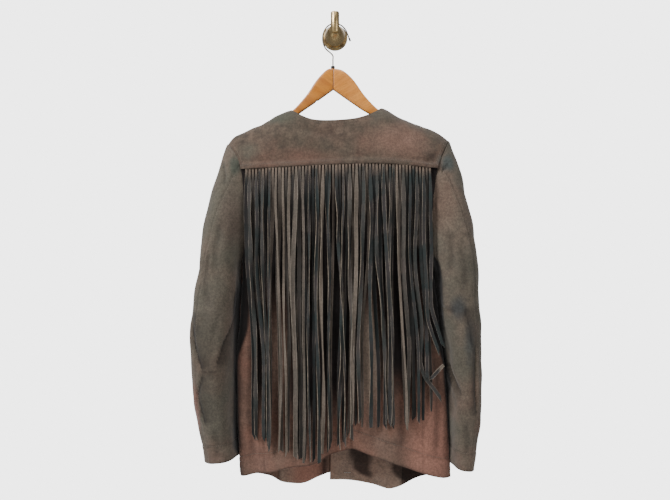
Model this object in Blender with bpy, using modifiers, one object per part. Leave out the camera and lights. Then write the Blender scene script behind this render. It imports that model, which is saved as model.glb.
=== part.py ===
"""Fringed suede jacket hung with its back outwards on a wooden hanger and a brass wall hook.

Metres, +Z up. The origin is the centre of the hook plate's back face, on the wall.
The wall is the plane y = 0, the room lies towards -Y, and +X is the right hand of
somebody who looks at the jacket's back. Left and right below are as seen from there.
"""
import math

import bmesh
import bpy
import numpy as np
from mathutils import Matrix, Vector

# Named sizes
CLOTH = 0.0015            # wall of the suede
SEAM = 0.0003             # gap between two pieces that are sewn together
SHOULDER_SEAM = 0.0006    # the same along the shoulder ridge, where the edges lean
SIDE_SEAM = 0.0006        # the same where the back meets the front at the side
SLEEVE_SEAM = 0.46        # half the gap along a sleeve, in degrees round it
RIDGE_Y = -0.0316         # shoulder ridge, over the middle of the hanger
BODY_POWER = 2.5          # roundness of the body's cross-section (2 is an ellipse)
SLEEVE_POWER = 2.3        # roundness of the sleeve's cross-section
BACK_ROOF = 0.075         # drop over which the back leaves the shoulder ridge
NECK_ROOF = 0.100         # what is added to that drop at the middle of the neck
NECK_SPREAD = 0.060       # half-width over which that addition fades
FRONT_ROOF = 0.018        # drop over which the fronts leave the shoulder ridge
NECK_LEFT = -0.0886       # neck point on the left shoulder
NECK_RIGHT = 0.0936       # neck point on the right shoulder
V_BOTTOM = -0.330         # lowest point of the front neckline
OPEN_GAP = 0.0036         # slot between the two fronts
UNDERARM_Z = -0.460       # bottom of the armholes
SIDE_TOP = -0.372         # top of the side panels, on the armhole
FOLD_TOP = -0.480         # where the soft folds of the skirt begin
FOLD_FULL = -0.840        # where they are deepest
SPOT_STEPS = 14           # repeats that settle a point between its panel's edges
SLOPE_STEP = 0.002        # step for measuring how the cloth slopes
SLOPE_MOST = 2.5          # limit on what the slope adds to a standoff
LAP = 0.0045              # how far the yoke lies over the fringe
LAP_RISE = 0.0080         # length over which the yoke steps outwards
LAP_OUT = 0.0040          # how far it steps out

FRINGE_CLOTH = 0.0012     # thickness of the fringe leather
FRINGE_STRIP = 0.0105     # height of the strip that the strands are cut from
FRINGE_OUT = 0.0018       # strip's middle off the middle of the back
STRANDS = 56              # number of strands across the back
STRAND_WIDTH = 0.0048     # width of one strand
STRAND_STEPS = 8          # lengths that a strand is divided into
STRAND_NEAR = 0.0046      # standoff of the strands next to the cloth
STRAND_FAR = 0.0100       # standoff of the strands that hang over them
STRAND_TURN_NEAR = 40.0   # most that a near strand turns, in degrees
STRAND_TURN_FAR = 62.0    # most that a far strand turns
STRAND_SWAY = 0.0028      # sideways wander of a single strand
STRAND_END_STRAY = 0.10   # length over which a stray strand leaves its line
STRAND_RAGGED = 0.012     # how unevenly the strands are cut to length
FRINGE_SEED = 11
BACK_REACH = 0.86         # strands follow the back out to this share of its half-width
FRINGE_LEFT = -0.1755     # left end of the strip
FRINGE_RIGHT = 0.1875     # right end of the strip

FACING_OFF = 0.0017       # facing's middle off the middle of the front
FACING_CLOTH = 0.0010     # thickness of the facing
FACING_TOP = -0.450       # top of the facings
FACING_INSET = 0.0010     # how far it stays inside the front's edge and hem
FACING_COLUMNS = 5        # columns of the front's points that it covers

PEG_Y = -0.0420           # axis of the upright peg
STEM_Z = 0.0020           # axis of the stem
TURNED_STEPS = 32         # steps round a turned part
WIRE_RADIUS = 0.0014
WIRE_Y = RIDGE_Y
TIP_RADIUS = 0.0019
HANGER_X = -0.0035        # joint between the two halves of the hanger
HANGER_DEPTH = 0.0105     # thickness of the wood
HANGER_ROUND = 0.0028     # rounding of its edges
HANGER_STEPS = 13         # lengths that each half is divided into
COLLAR_RADIUS = 0.0042
COLLAR_TOP = -0.0652
COLLAR_BOTTOM = -0.0696


class Table:
    """Rows of numbers under named columns, read smoothly along the first column."""

    def __init__(self, names, *rows):
        self.names = names.split()
        self.rows = np.array(sorted(rows), dtype=float)

    def at(self, name, key):
        """Value of one column at a key; cubic between rows and flat beyond them."""
        keys = self.rows[:, 0]
        vals = self.rows[:, self.names.index(name)]
        if key <= keys[0]:
            return float(vals[0])
        if key >= keys[-1]:
            return float(vals[-1])
        i = int(np.searchsorted(keys, key)) - 1
        step = keys[i + 1] - keys[i]

        def slope(j):
            if j == 0:
                return (vals[1] - vals[0]) / (keys[1] - keys[0])
            if j == len(keys) - 1:
                return (vals[-1] - vals[-2]) / (keys[-1] - keys[-2])
            return (vals[j + 1] - vals[j - 1]) / (keys[j + 1] - keys[j - 1])

        t = (key - keys[i]) / step
        a, b = vals[i], vals[i + 1]
        ma, mb = slope(i) * step, slope(i + 1) * step
        return float((2 * t**3 - 3 * t**2 + 1) * a + (t**3 - 2 * t**2 + t) * ma
                     + (-2 * t**3 + 3 * t**2) * b + (t**3 - t**2) * mb)


# Body by height: outermost x on each side and the y of side seam, back and fronts.
BODY = Table("z left right side back front",
             (-0.200, -0.2550, 0.2650, -0.0440, -0.0790, -0.0150),
             (-0.270, -0.2320, 0.2450, -0.0445, -0.0820, -0.0145),
             (-0.330, -0.2160, 0.2270, -0.0450, -0.0845, -0.0140),
             (-0.380, -0.2030, 0.2130, -0.0455, -0.0860, -0.0135),
             (-0.420, -0.1925, 0.2010, -0.0455, -0.0865, -0.0130),
             (-0.460, -0.1845, 0.1925, -0.0455, -0.0870, -0.0130),
             (-0.500, -0.1855, 0.1975, -0.0460, -0.0875, -0.0130),
             (-0.560, -0.1890, 0.2040, -0.0465, -0.0880, -0.0130),
             (-0.654, -0.1950, 0.2150, -0.0470, -0.0880, -0.0130),
             (-0.741, -0.1940, 0.2225, -0.0475, -0.0870, -0.0130),
             (-0.800, -0.1920, 0.2255, -0.0480, -0.0860, -0.0130),
             (-0.860, -0.1880, 0.2270, -0.0485, -0.0850, -0.0130),
             (-0.930, -0.1820, 0.2275, -0.0490, -0.0840, -0.0130))

# Armhole edges of the back and the fronts, from the shoulder point to the underarm.
ARMHOLE_LEFT = Table("z x",
                     (-0.2225, -0.2134), (-0.2427, -0.1975), (-0.2610, -0.1885),
                     (-0.2780, -0.1835), (-0.3000, -0.1800), (-0.3730, -0.1785),
                     (-0.4400, -0.1800), (-0.4600, -0.1845))
ARMHOLE_RIGHT = Table("z x",
                      (-0.2165, 0.2260), (-0.2400, 0.2135), (-0.2610, 0.2045),
                      (-0.2780, 0.1995), (-0.3000, 0.1960), (-0.3730, 0.1895),
                      (-0.4400, 0.1875), (-0.4600, 0.1925))

# Shoulder ridge; between the neck points it is only a guide for the neck's shape.
RIDGE = Table("x z",
              (-0.2134, -0.2225), (-0.1991, -0.2075), (-0.1760, -0.1975),
              (-0.1439, -0.1840), (-0.1188, -0.1685), (-0.0886, -0.1545),
              (0.0000, -0.1370), (0.0936, -0.1523), (0.1294, -0.1702),
              (0.1672, -0.1856), (0.2056, -0.2010), (0.2260, -0.2165))
NECKLINE = Table("x z",
                 (-0.0886, -0.1545), (-0.0684, -0.1692), (-0.0415, -0.1783),
                 (0.0000, -0.1795), (0.0413, -0.1756), (0.0682, -0.1666),
                 (0.0936, -0.1523))
YOKE_SEAM = Table("x z",
                  (-0.1850, -0.2771), (-0.0900, -0.2725), (0.0000, -0.2680),
                  (0.1000, -0.2667), (0.2000, -0.2753))

# Hems, and the upright seams of the back.
BACK_HEM = Table("x z",
                 (-0.1960, -0.8800), (-0.1820, -0.8790), (-0.1581, -0.8722),
                 (-0.1268, -0.8677), (-0.0903, -0.8565), (-0.0460, -0.8490),
                 (-0.0072, -0.8299), (0.0133, -0.8243), (0.0329, -0.8190),
                 (0.0445, -0.8222), (0.0692, -0.8328), (0.1165, -0.8484),
                 (0.1620, -0.8664), (0.2093, -0.8811), (0.2300, -0.8820))
FRONT_HEM = Table("x z",
                  (-0.1960, -0.8800), (-0.1700, -0.8840), (-0.1323, -0.8914),
                  (-0.1089, -0.9041), (-0.0777, -0.9079), (-0.0563, -0.9059),
                  (-0.0328, -0.8960), (-0.0133, -0.8880))
FRONT_HEM_RIGHT = Table("x z",
                        (-0.0133, -0.9025), (0.0414, -0.9041), (0.0764, -0.9108),
                        (0.0999, -0.9190), (0.1131, -0.9208), (0.1354, -0.9139),
                        (0.1708, -0.8930), (0.2050, -0.8850), (0.2300, -0.8820))
CENTRE_SEAM = Table("z x",
                    (-0.2600, 0.0030), (-0.4500, 0.0080), (-0.8200, 0.0329))
SIDE_SEAM_LEFT = Table("z x",
                       (-0.3720, -0.1760), (-0.4200, -0.1640), (-0.5000, -0.1520),
                       (-0.6500, -0.1420), (-0.8000, -0.1376), (-0.8800, -0.1368))
SIDE_SEAM_RIGHT = Table("z x",
                        (-0.3720, 0.1870), (-0.4200, 0.1760), (-0.5000, 0.1680),
                        (-0.6500, 0.1680), (-0.8000, 0.1708), (-0.8800, 0.1714))
FRONT_EDGE = Table("z x",
                   (-0.1500, 0.0020), (-0.3300, 0.0010), (-0.6000, -0.0060),
                   (-0.9200, -0.0128))

# Sleeve rings by their outer height; the inner side of a ring is lower by its tilt.
SLEEVE_LEFT = Table("z outer inner back front tilt",
                    (-0.4703, -0.2665, -0.1925, -0.1050, -0.0125, 0.036),
                    (-0.5208, -0.2742, -0.1960, -0.1075, -0.0120, 0.014),
                    (-0.5768, -0.2797, -0.2010, -0.1095, -0.0120, 0.004),
                    (-0.6143, -0.2807, -0.2025, -0.1100, -0.0125, 0.000),
                    (-0.6596, -0.2780, -0.2030, -0.1090, -0.0130, 0.000),
                    (-0.7365, -0.2756, -0.2025, -0.1060, -0.0150, 0.000),
                    (-0.7681, -0.2702, -0.2018, -0.1040, -0.0160, 0.000),
                    (-0.8095, -0.2620, -0.2003, -0.1010, -0.0170, 0.000),
                    (-0.8470, -0.2545, -0.1985, -0.0985, -0.0180, -0.006))
SLEEVE_RIGHT = Table("z outer inner back front tilt",
                     (-0.4700, 0.2790, 0.2050, -0.1050, -0.0125, 0.036),
                     (-0.5208, 0.2812, 0.2085, -0.1075, -0.0120, 0.014),
                     (-0.5551, 0.2826, 0.2115, -0.1090, -0.0120, 0.004),
                     (-0.6044, 0.2842, 0.2180, -0.1100, -0.0125, 0.000),
                     (-0.6419, 0.2855, 0.2240, -0.1095, -0.0130, 0.000),
                     (-0.7010, 0.2864, 0.2290, -0.1075, -0.0140, 0.000),
                     (-0.7622, 0.2836, 0.2305, -0.1050, -0.0155, 0.000),
                     (-0.8026, 0.2776, 0.2310, -0.1020, -0.0165, 0.000),
                     (-0.8430, 0.2736, 0.2312, -0.0995, -0.0175, -0.002),
                     (-0.8610, 0.2720, 0.2312, -0.0985, -0.0180, -0.006))

# How the sleeve leaves the armhole, by the angle round it (0 top, 90 back, 180 underarm):
# its first direction outwards, along y and downwards, its pull into the first ring, and
# how far its edge stands off the armhole sideways and upwards.
SLEEVE_HEAD = Table("angle out along down pull gap lift",
                    (0.0, 0.050, 0.000, 0.110, 0.230, 0.0014, -0.0014),
                    (45.0, 0.060, -0.030, 0.090, 0.200, 0.0018, -0.0008),
                    (90.0, 0.070, -0.040, 0.060, 0.150, 0.0013, 0.0000),
                    (135.0, 0.040, -0.020, 0.040, 0.080, 0.0014, 0.0002),
                    (180.0, 0.016, 0.000, 0.020, 0.040, 0.0019, 0.0008),
                    (225.0, 0.040, 0.010, 0.040, 0.080, 0.0014, 0.0002),
                    (270.0, 0.070, 0.020, 0.060, 0.150, 0.0016, 0.0000),
                    (315.0, 0.060, 0.015, 0.090, 0.200, 0.0028, -0.0012),
                    (337.0, 0.055, 0.008, 0.100, 0.215, 0.0030, -0.0018),
                    (360.0, 0.050, 0.000, 0.110, 0.230, 0.0014, -0.0014))
BACK_SLEEVE_SEAM = 52.0      # angle of the seam at the outer back edge
FRONT_SLEEVE_SEAM = 262.0    # angle of the seam at the front

# Lower ends of the strands, and the two places where the strands part.
FRINGE_TIPS = Table("x z",
                    (-0.1755, -0.8000), (-0.1615, -0.8050), (-0.1346, -0.8150),
                    (-0.1000, -0.8270), (-0.0423, -0.8400), (-0.0077, -0.8190),
                    (0.0250, -0.8080), (0.0454, -0.7750), (0.0769, -0.7730),
                    (0.1269, -0.7760), (0.1500, -0.7640), (0.1875, -0.7470))
PARTINGS = ((-0.1096, 0.55), (0.0567, 0.60))
PARTING_WIDTH = 0.022
# Three strands at the right that curl outwards: number from the right end, then x by height.
STRAYS = {
    1: Table("z x", (-0.5000, 0.1815), (-0.5500, 0.1880), (-0.6000, 0.2000), (-0.6480, 0.2030)),
    3: Table("z x", (-0.5600, 0.1745), (-0.6300, 0.1810), (-0.6760, 0.1960)),
    5: Table("z x", (-0.6000, 0.1620), (-0.6800, 0.1790), (-0.7100, 0.1980), (-0.7270, 0.2110)),
}

# Brass stem round its axis: distance from the wall and radius.
STEM = ((0.0053, 0.0), (0.0053, 0.0222), (0.0150, 0.0206), (0.0316, 0.0158),
        (0.0400, 0.0118), (0.0460, 0.0075), (0.0460, 0.0))
# Peg round its axis: height and radius, from the top down.
PEG = ((0.0402, 0.0), (0.0402, 0.0066), (0.0396, 0.0079), (0.0382, 0.0085),
       (0.0000, 0.0085), (-0.0016, 0.0076), (-0.0022, 0.0060), (-0.0022, 0.0))
PLATE = ((0.0050, 0.0), (0.0050, 0.0222), (0.0046, 0.0234), (0.0036, 0.0240),
         (0.0, 0.0240), (0.0, 0.0))
# Middle line of the hook wire: x and z, from the collar to the tip.
WIRE = ((-0.0042, -0.0649), (-0.0042, -0.0530), (-0.0046, -0.0440), (-0.0105, -0.0375),
        (-0.0182, -0.0306), (-0.0234, -0.0200), (-0.0247, -0.0070), (-0.0208, 0.0072),
        (-0.0118, 0.0170), (0.0000, 0.0204), (0.0118, 0.0170), (0.0208, 0.0082),
        (0.0255, -0.0015), (0.0283, -0.0088))
TIP_LENGTH = 0.0062
# Hanger by distance from its joint: upper and lower edge of each half.
HANGER_LEFT = Table("x top bottom",
                    (0.0000, -0.0699, -0.1133), (0.0130, -0.0728, -0.1226),
                    (0.0335, -0.0938, -0.1372), (0.0545, -0.1248, -0.1514),
                    (0.0814, -0.1545, -0.1700), (0.0950, -0.1625, -0.1775),
                    (0.1150, -0.1728, -0.1890), (0.1400, -0.1872, -0.2070),
                    (0.1720, -0.2010, -0.2200), (0.1900, -0.2110, -0.2270),
                    (0.2000, -0.2195, -0.2300))
HANGER_RIGHT = Table("x top bottom",
                     (0.0000, -0.0699, -0.1133), (0.0195, -0.0746, -0.1272),
                     (0.0409, -0.0938, -0.1420), (0.0619, -0.1234, -0.1560),
                     (0.0886, -0.1515, -0.1700), (0.1050, -0.1600, -0.1780),
                     (0.1330, -0.1735, -0.1900), (0.1700, -0.1892, -0.2070),
                     (0.2000, -0.2015, -0.2190), (0.2090, -0.2080, -0.2240),
                     (0.2150, -0.2150, -0.2270))


# Scene and materials
def clear_scene():
    """Remove what the file starts with."""
    for ob in list(bpy.data.objects):
        bpy.data.objects.remove(ob, do_unlink=True)


def make_material(name, colour, roughness, metallic):
    """Plain material of one sub-part."""
    mat = bpy.data.materials.new(name)
    mat.use_nodes = True
    node = mat.node_tree.nodes["Principled BSDF"]
    node.inputs["Base Color"].default_value = (*colour, 1.0)
    node.inputs["Roughness"].default_value = roughness
    node.inputs["Metallic"].default_value = metallic
    return mat


SUEDE = ((0.155, 0.115, 0.090), 0.92, 0.0)
SUEDE_SLEEVE = ((0.125, 0.105, 0.080), 0.92, 0.0)
SUEDE_SKIRT = ((0.175, 0.105, 0.080), 0.92, 0.0)
SUEDE_FRINGE = ((0.055, 0.050, 0.042), 0.90, 0.0)
SUEDE_FACING = ((0.260, 0.125, 0.080), 0.90, 0.0)
BRASS = ((0.330, 0.220, 0.090), 0.35, 1.0)
STEEL = ((0.420, 0.420, 0.400), 0.30, 1.0)
WOOD_DARK = ((0.480, 0.220, 0.070), 0.45, 0.0)
WOOD_PALE = ((0.560, 0.320, 0.140), 0.45, 0.0)
BLACK = ((0.020, 0.020, 0.020), 0.50, 0.0)


def place(name, mesh, finish, collection):
    """Put a mesh into the collection as one named sub-part."""
    obj = bpy.data.objects.new(name, mesh)
    mesh.materials.append(make_material(name + "_finish", *finish))
    collection.objects.link(obj)
    return obj


# Body surface
def smooth(t):
    """Soft step from 0 to 1."""
    t = min(max(t, 0.0), 1.0)
    return t * t * (3.0 - 2.0 * t)


def extent(z):
    """Middle and half-width of the body at a height."""
    left, right = BODY.at("left", z), BODY.at("right", z)
    return 0.5 * (left + right), 0.5 * (right - left)


def turn_of(x, z):
    """Angle round the body's half section for a sideways position."""
    mid, half = extent(z)
    t = min(max((x - mid) / half, -1.0), 1.0)
    return math.copysign(math.asin(abs(t) ** (BODY_POWER / 2.0)), t)


def x_of(turn, z):
    """Sideways position for an angle round the half section."""
    mid, half = extent(z)
    s = math.sin(turn)
    return mid + half * math.copysign(abs(s) ** (2.0 / BODY_POWER), s)


def arch(drop, height):
    """Quarter arch from the shoulder ridge outwards."""
    s = min(max(drop / height, 0.0), 1.0)
    return math.sqrt(max(0.0, 1.0 - (1.0 - s) ** 2))


def folds(x, z, face):
    """Soft upright folds of the skirt, deepest near the hem."""
    deep = smooth((FOLD_TOP - z) / (FOLD_TOP - FOLD_FULL))
    if face == "back":
        wave = 0.0030 * math.sin(38.0 * x + 0.6) + 0.0018 * math.sin(83.0 * x + 1.7)
    else:
        wave = 0.0022 * math.sin(44.0 * x + 2.1) + 0.0012 * math.sin(97.0 * x)
    return deep * wave


def body_y(x, z, face):
    """Depth of the cloth at a place on the back or the fronts."""
    g = abs(math.cos(turn_of(x, z))) ** (2.0 / BODY_POWER)
    side = BODY.at("side", z)
    flat = side + (BODY.at(face, z) - side) * g + folds(x, z, face) * min(1.0, 1.5 * g)
    drop = RIDGE.at("z", x) - z
    if face == "back":
        roof = BACK_ROOF + NECK_ROOF * math.exp(-(x / NECK_SPREAD) ** 2)
        start = RIDGE_Y - 0.5 * SHOULDER_SEAM
    else:
        roof = FRONT_ROOF
        start = RIDGE_Y + 0.5 * SHOULDER_SEAM
    lean = arch(drop, roof)
    seam = -0.5 * SIDE_SEAM if face == "back" else 0.5 * SIDE_SEAM
    return start + (flat + seam - start) * lean


def off_back(x, z, off):
    """Depth of a point that is held off the back by a distance square to the cloth."""
    d = SLOPE_STEP
    along_x = (body_y(x + d, z, "back") - body_y(x - d, z, "back")) / (2.0 * d)
    along_z = (body_y(x, z + d, "back") - body_y(x, z - d, "back")) / (2.0 * d)
    return body_y(x, z, "back") - off * min(math.sqrt(1.0 + along_x**2 + along_z**2), SLOPE_MOST)


def armhole_x(z, hand):
    """Edge of the body at a height: the armhole, and below it the side seam."""
    if z < UNDERARM_Z:
        return BODY.at(hand, z)
    return (ARMHOLE_LEFT if hand == "left" else ARMHOLE_RIGHT).at("x", z)


def spot(u, drop_share, extra, inner, outer, top, bottom, face):
    """Point of a body panel.

    u runs from the inner to the outer edge and drop_share from the top to the bottom
    edge, with extra metres added to the height. The edges depend on each other, so the
    place is found by repeated steps.
    """
    z = UNDERARM_Z
    x = 0.0
    for _ in range(SPOT_STEPS):
        turn = (1.0 - u) * turn_of(inner(z), z) + u * turn_of(outer(z), z)
        x = x_of(turn, z)
        high, low = top(x), bottom(x)
        z = high + (low - high) * drop_share + extra
    return Vector((x, body_y(x, z, face), z))


def sheet(name, points, wall, finish, collection):
    """Closed cloth solid: a grid mapped onto the points and given its thickness."""
    rows, cols = len(points), len(points[0])
    bm = bmesh.new()
    bmesh.ops.create_grid(bm, x_segments=cols - 1, y_segments=rows - 1, size=1.0)
    for v in bm.verts:
        col = round((v.co.x + 1.0) * 0.5 * (cols - 1))
        row = round((v.co.y + 1.0) * 0.5 * (rows - 1))
        v.co = points[row][col]
    mesh = bpy.data.meshes.new(name)
    bm.to_mesh(mesh)
    bm.free()
    obj = place(name, mesh, finish, collection)
    solid = obj.modifiers.new("wall", "SOLIDIFY")
    solid.thickness = wall
    solid.offset = 0.0
    solid.use_even_offset = True
    solid.use_rim = True
    return obj


def spread(*stops):
    """Rows or columns between stops, given as (stop, number of steps up to it)."""
    out = [stops[0][0]]
    for (a, _), (b, n) in zip(stops[:-1], stops[1:]):
        out += [a + (b - a) * (i + 1) / n for i in range(n)]
    return out


# Body panels. Rows are shares of a panel's height and columns shares of its width.
YOKE_ROWS = [0.0, 0.006, 0.030, 0.080, 0.16, 0.30, 0.50, 0.75]       # above the lap
YOKE_COLUMNS = spread((0.0, 0), (0.283, 7), (0.697, 10), (1.0, 7))   # one on each neck point
BACK_ROWS = spread((0.0, 0), (0.18, 4), (1.0, 17))
SIDE_ROWS = BACK_ROWS[4:]             # the side panels start lower down the armhole
BACK_COLUMNS = spread((0.0, 0), (1.0, 8))
SIDE_COLUMNS = spread((0.0, 0), (0.55, 2), (0.85, 2), (1.0, 1))
FRONT_ROWS = [0.0, 0.0012, 0.005, 0.012, 0.024, 0.045, 0.080] + spread((0.13, 0), (1.0, 14))
FRONT_COLUMNS = spread((0.0, 0), (0.36, 4), (0.80, 3), (0.95, 2), (1.0, 1))
SLEEVE_ROWS = spread((0.0, 0), (1.0, 7), (2.0, 12))
UPPER_STEPS = 10
UNDER_STEPS = 12


def yoke_top(x):
    """Upper edge of the yoke: ridge, neckline, ridge."""
    if NECK_LEFT < x < NECK_RIGHT:
        return NECKLINE.at("z", x)
    return RIDGE.at("z", x)


def build_yoke(collection):
    """Back yoke from the shoulder ridge to the seam that holds the fringe."""
    over = [LAP + LAP_RISE, LAP + 0.5 * LAP_RISE, LAP, 0.0]

    def low(x):
        return YOKE_SEAM.at("z", x)

    points = []
    for share in YOKE_ROWS:
        row = []
        for u in YOKE_COLUMNS:
            row.append(spot(u, share, 0.0, lambda z: armhole_x(z, "left"),
                            lambda z: armhole_x(z, "right"), yoke_top,
                            lambda x: low(x) + LAP + LAP_RISE, "back"))
        points.append(row)
    for rise in over:
        row = []
        for u in YOKE_COLUMNS:
            p = spot(u, 1.0, rise, lambda z: armhole_x(z, "left"),
                     lambda z: armhole_x(z, "right"), yoke_top, low, "back")
            p.y -= LAP_OUT * smooth((LAP + LAP_RISE - rise) / LAP_RISE)
            row.append(p)
        points.append(row)
    return sheet("back_yoke", points, CLOTH, SUEDE, collection)


def build_back(name, inner, outer, rows, cols, collection):
    """Panel of the back between two upright edges, from under the yoke to the hem."""
    points = [[spot(u, v, 0.0, inner, outer, lambda x: YOKE_SEAM.at("z", x) + LAP - SEAM,
                    lambda x: BACK_HEM.at("z", x), "back") for u in cols] for v in rows]
    return sheet(name, points, CLOTH, SUEDE_SKIRT, collection)


def build_backs(collection):
    """Two back panels and the two side panels next to them."""
    gap = 0.5 * SEAM

    def centre(z):
        return CENTRE_SEAM.at("x", z)

    def left_edge(z):
        if z > SIDE_TOP:
            return armhole_x(z, "left")
        return SIDE_SEAM_LEFT.at("x", z)

    def right_edge(z):
        if z > SIDE_TOP:
            return armhole_x(z, "right")
        return SIDE_SEAM_RIGHT.at("x", z)

    inwards = [1.0 - u for u in reversed(SIDE_COLUMNS)]
    build_back("back_left", lambda z: left_edge(z) + gap, lambda z: centre(z) - gap,
               BACK_ROWS, BACK_COLUMNS, collection)
    build_back("back_right", lambda z: centre(z) + gap, lambda z: right_edge(z) - gap,
               BACK_ROWS, BACK_COLUMNS, collection)
    build_back("side_back_left", lambda z: armhole_x(z, "left"),
               lambda z: SIDE_SEAM_LEFT.at("x", z) - gap, SIDE_ROWS, inwards, collection)
    build_back("side_back_right", lambda z: SIDE_SEAM_RIGHT.at("x", z) + gap,
               lambda z: armhole_x(z, "right"), SIDE_ROWS, SIDE_COLUMNS, collection)


def front_top(hand):
    """Upper edge of a front: the slope of the neckline, then the ridge."""
    neck = NECK_LEFT if hand == "left" else NECK_RIGHT
    edge = FRONT_EDGE.at("x", V_BOTTOM)

    def top(x):
        share = (x - edge) / (neck - edge)
        if share >= 1.0:
            return RIDGE.at("z", x)
        share = max(share, 0.0)
        high = RIDGE.at("z", neck)
        return V_BOTTOM + (high - V_BOTTOM) * share ** 0.8
    return top


def build_fronts(collection):
    """Two plain fronts, open down the middle, each with a facing made from its points."""
    for hand, sign in (("left", -1.0), ("right", 1.0)):
        hem = FRONT_HEM if hand == "left" else FRONT_HEM_RIGHT
        points = [[spot(u, v, 0.0, lambda z: FRONT_EDGE.at("x", z) + sign * 0.5 * OPEN_GAP,
                        lambda z: armhole_x(z, hand), front_top(hand),
                        lambda x: hem.at("z", x), "front")
                   for u in FRONT_COLUMNS] for v in FRONT_ROWS]
        sheet("front_" + hand, points, CLOTH, SUEDE_SKIRT, collection)
        inside = []
        for row in points:
            if row[0].z > FACING_TOP:
                continue
            inside.append([p + Vector((0.0, -FACING_OFF, 0.0)) for p in row[:FACING_COLUMNS]])
            inside[-1][0].x += sign * FACING_INSET
        for p in inside[-1]:
            p.z += FACING_INSET
        sheet("facing_" + hand, inside, FACING_CLOTH, SUEDE_FACING, collection)


# Sleeves
def armhole_spot(angle, hand):
    """Point of the armhole; angle 0 at the shoulder, 90 at the back, 180 at the underarm."""
    top = -0.2225 if hand == "left" else -0.2165
    z = 0.5 * (top + UNDERARM_Z) + 0.5 * (top - UNDERARM_Z) * math.cos(math.radians(angle))
    x = armhole_x(z, hand)
    back, front = body_y(x, z, "back"), body_y(x, z, "front")
    y = back if angle % 360.0 < 180.0 else front
    if angle % 180.0 == 0.0:
        y = 0.5 * (back + front)
    turn = angle % 360.0 if angle < 360.0 else 360.0
    out = SLEEVE_HEAD.at("gap", turn) * (-1.0 if hand == "left" else 1.0)
    return Vector((x + out, y, z + SLEEVE_HEAD.at("lift", turn)))


def ring_spot(z, angle, rings):
    """Point of a sleeve ring; angle 0 outside, 90 at the back, 180 inside."""
    a = math.radians(angle)
    outer, inner = rings.at("outer", z), rings.at("inner", z)
    back, front = rings.at("back", z), rings.at("front", z)
    c, s = math.cos(a), math.sin(a)
    power = 2.0 / SLEEVE_POWER
    x = 0.5 * (outer + inner) + 0.5 * (outer - inner) * math.copysign(abs(c) ** power, c)
    y = 0.5 * (back + front) + 0.5 * (back - front) * math.copysign(abs(s) ** power, s)
    return Vector((x, y, z - rings.at("tilt", z) * 0.5 * (1.0 - c)))


def sleeve_spot(angle, along, hand):
    """Point of the sleeve; along 0 to 1 is the head and 1 to 2 the length below it."""
    rings = SLEEVE_LEFT if hand == "left" else SLEEVE_RIGHT
    first, last = rings.rows[-1, 0], rings.rows[0, 0]
    if along >= 1.0:
        return ring_spot(first + (last - first) * (along - 1.0), angle, rings)
    sign = -1.0 if hand == "left" else 1.0
    a, b = armhole_spot(angle, hand), ring_spot(first, angle, rings)
    turn = angle % 360.0 if angle < 360.0 else 360.0
    start = Vector((sign * SLEEVE_HEAD.at("out", turn), SLEEVE_HEAD.at("along", turn),
                    -SLEEVE_HEAD.at("down", turn)))
    end = Vector((0.0, 0.0, -SLEEVE_HEAD.at("pull", turn)))
    t = along
    return ((2 * t**3 - 3 * t**2 + 1) * a + (t**3 - 2 * t**2 + t) * start
            + (-2 * t**3 + 3 * t**2) * b + (t**3 - t**2) * end)


def build_sleeves(collection):
    """Two-piece sleeves, open at the cuffs."""
    for hand in ("left", "right"):
        for part, lo, hi, steps in (
                ("upper", FRONT_SLEEVE_SEAM - 360.0, BACK_SLEEVE_SEAM, UPPER_STEPS),
                ("under", BACK_SLEEVE_SEAM, FRONT_SLEEVE_SEAM, UNDER_STEPS)):
            cols = spread((lo + SLEEVE_SEAM, 0), (hi - SLEEVE_SEAM, steps))
            points = [[sleeve_spot(a % 360.0 if a < 0.0 else a, v, hand) for a in cols]
                      for v in SLEEVE_ROWS]
            sheet(part + "_sleeve_" + hand, points, CLOTH, SUEDE_SLEEVE, collection)


# Fringe
def strand_line(number, rng):
    """Root's place, then middle points and turns of one strand down to its tip."""
    pitch = (FRINGE_RIGHT - FRINGE_LEFT) / STRANDS
    root_x = FRINGE_LEFT + pitch * (number + 0.5)
    start_z = YOKE_SEAM.at("z", root_x) + LAP - FRINGE_STRIP
    tip_z = FRINGE_TIPS.at("z", root_x) + STRAND_RAGGED * (rng.rand() - 0.5)
    far = number % 2 == 1
    bend_a, bend_b = rng.rand() * math.tau, rng.rand() * math.tau
    turn_a, turn_rate = rng.rand() * math.tau, 1.0 + rng.rand()
    turn_most = math.radians(STRAND_TURN_FAR if far else STRAND_TURN_NEAR)
    stray = STRAYS.get(STRANDS - number)
    if stray is not None:
        tip_z = float(stray.rows[0, 0])
    out = []
    for k in range(1, STRAND_STEPS + 1):
        t = k / STRAND_STEPS
        z = start_z + (tip_z - start_z) * t
        push = sum(gain * (root_x - place_x)
                   * math.exp(-((root_x - place_x) / PARTING_WIDTH) ** 2)
                   for place_x, gain in PARTINGS)
        wander = STRAND_SWAY * (0.65 * math.sin(bend_a + 5.0 * t)
                                + 0.35 * math.sin(bend_b + 11.0 * t))
        x = root_x + push * smooth((t - 0.30) / 0.45) + wander * smooth(t / 0.25)
        if stray is not None:
            first_z = float(stray.rows[-1, 0])
            share = smooth((first_z + STRAND_END_STRAY - z) / STRAND_END_STRAY)
            x = (1.0 - share) * x + share * stray.at("x", z)
        off = STRAND_FAR if far else STRAND_NEAR
        stand = FRINGE_OUT + (off - FRINGE_OUT) * smooth(t / 0.16)
        flat_x = min(max(x, BODY.at("left", z) * BACK_REACH), BODY.at("right", z) * BACK_REACH)
        y = off_back(flat_x, z, stand)
        turn = turn_most * math.sin(turn_a + math.tau * turn_rate * t) * smooth(t / 0.2)
        out.append((Vector((x, y, z)), turn))
    return root_x, out


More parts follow.
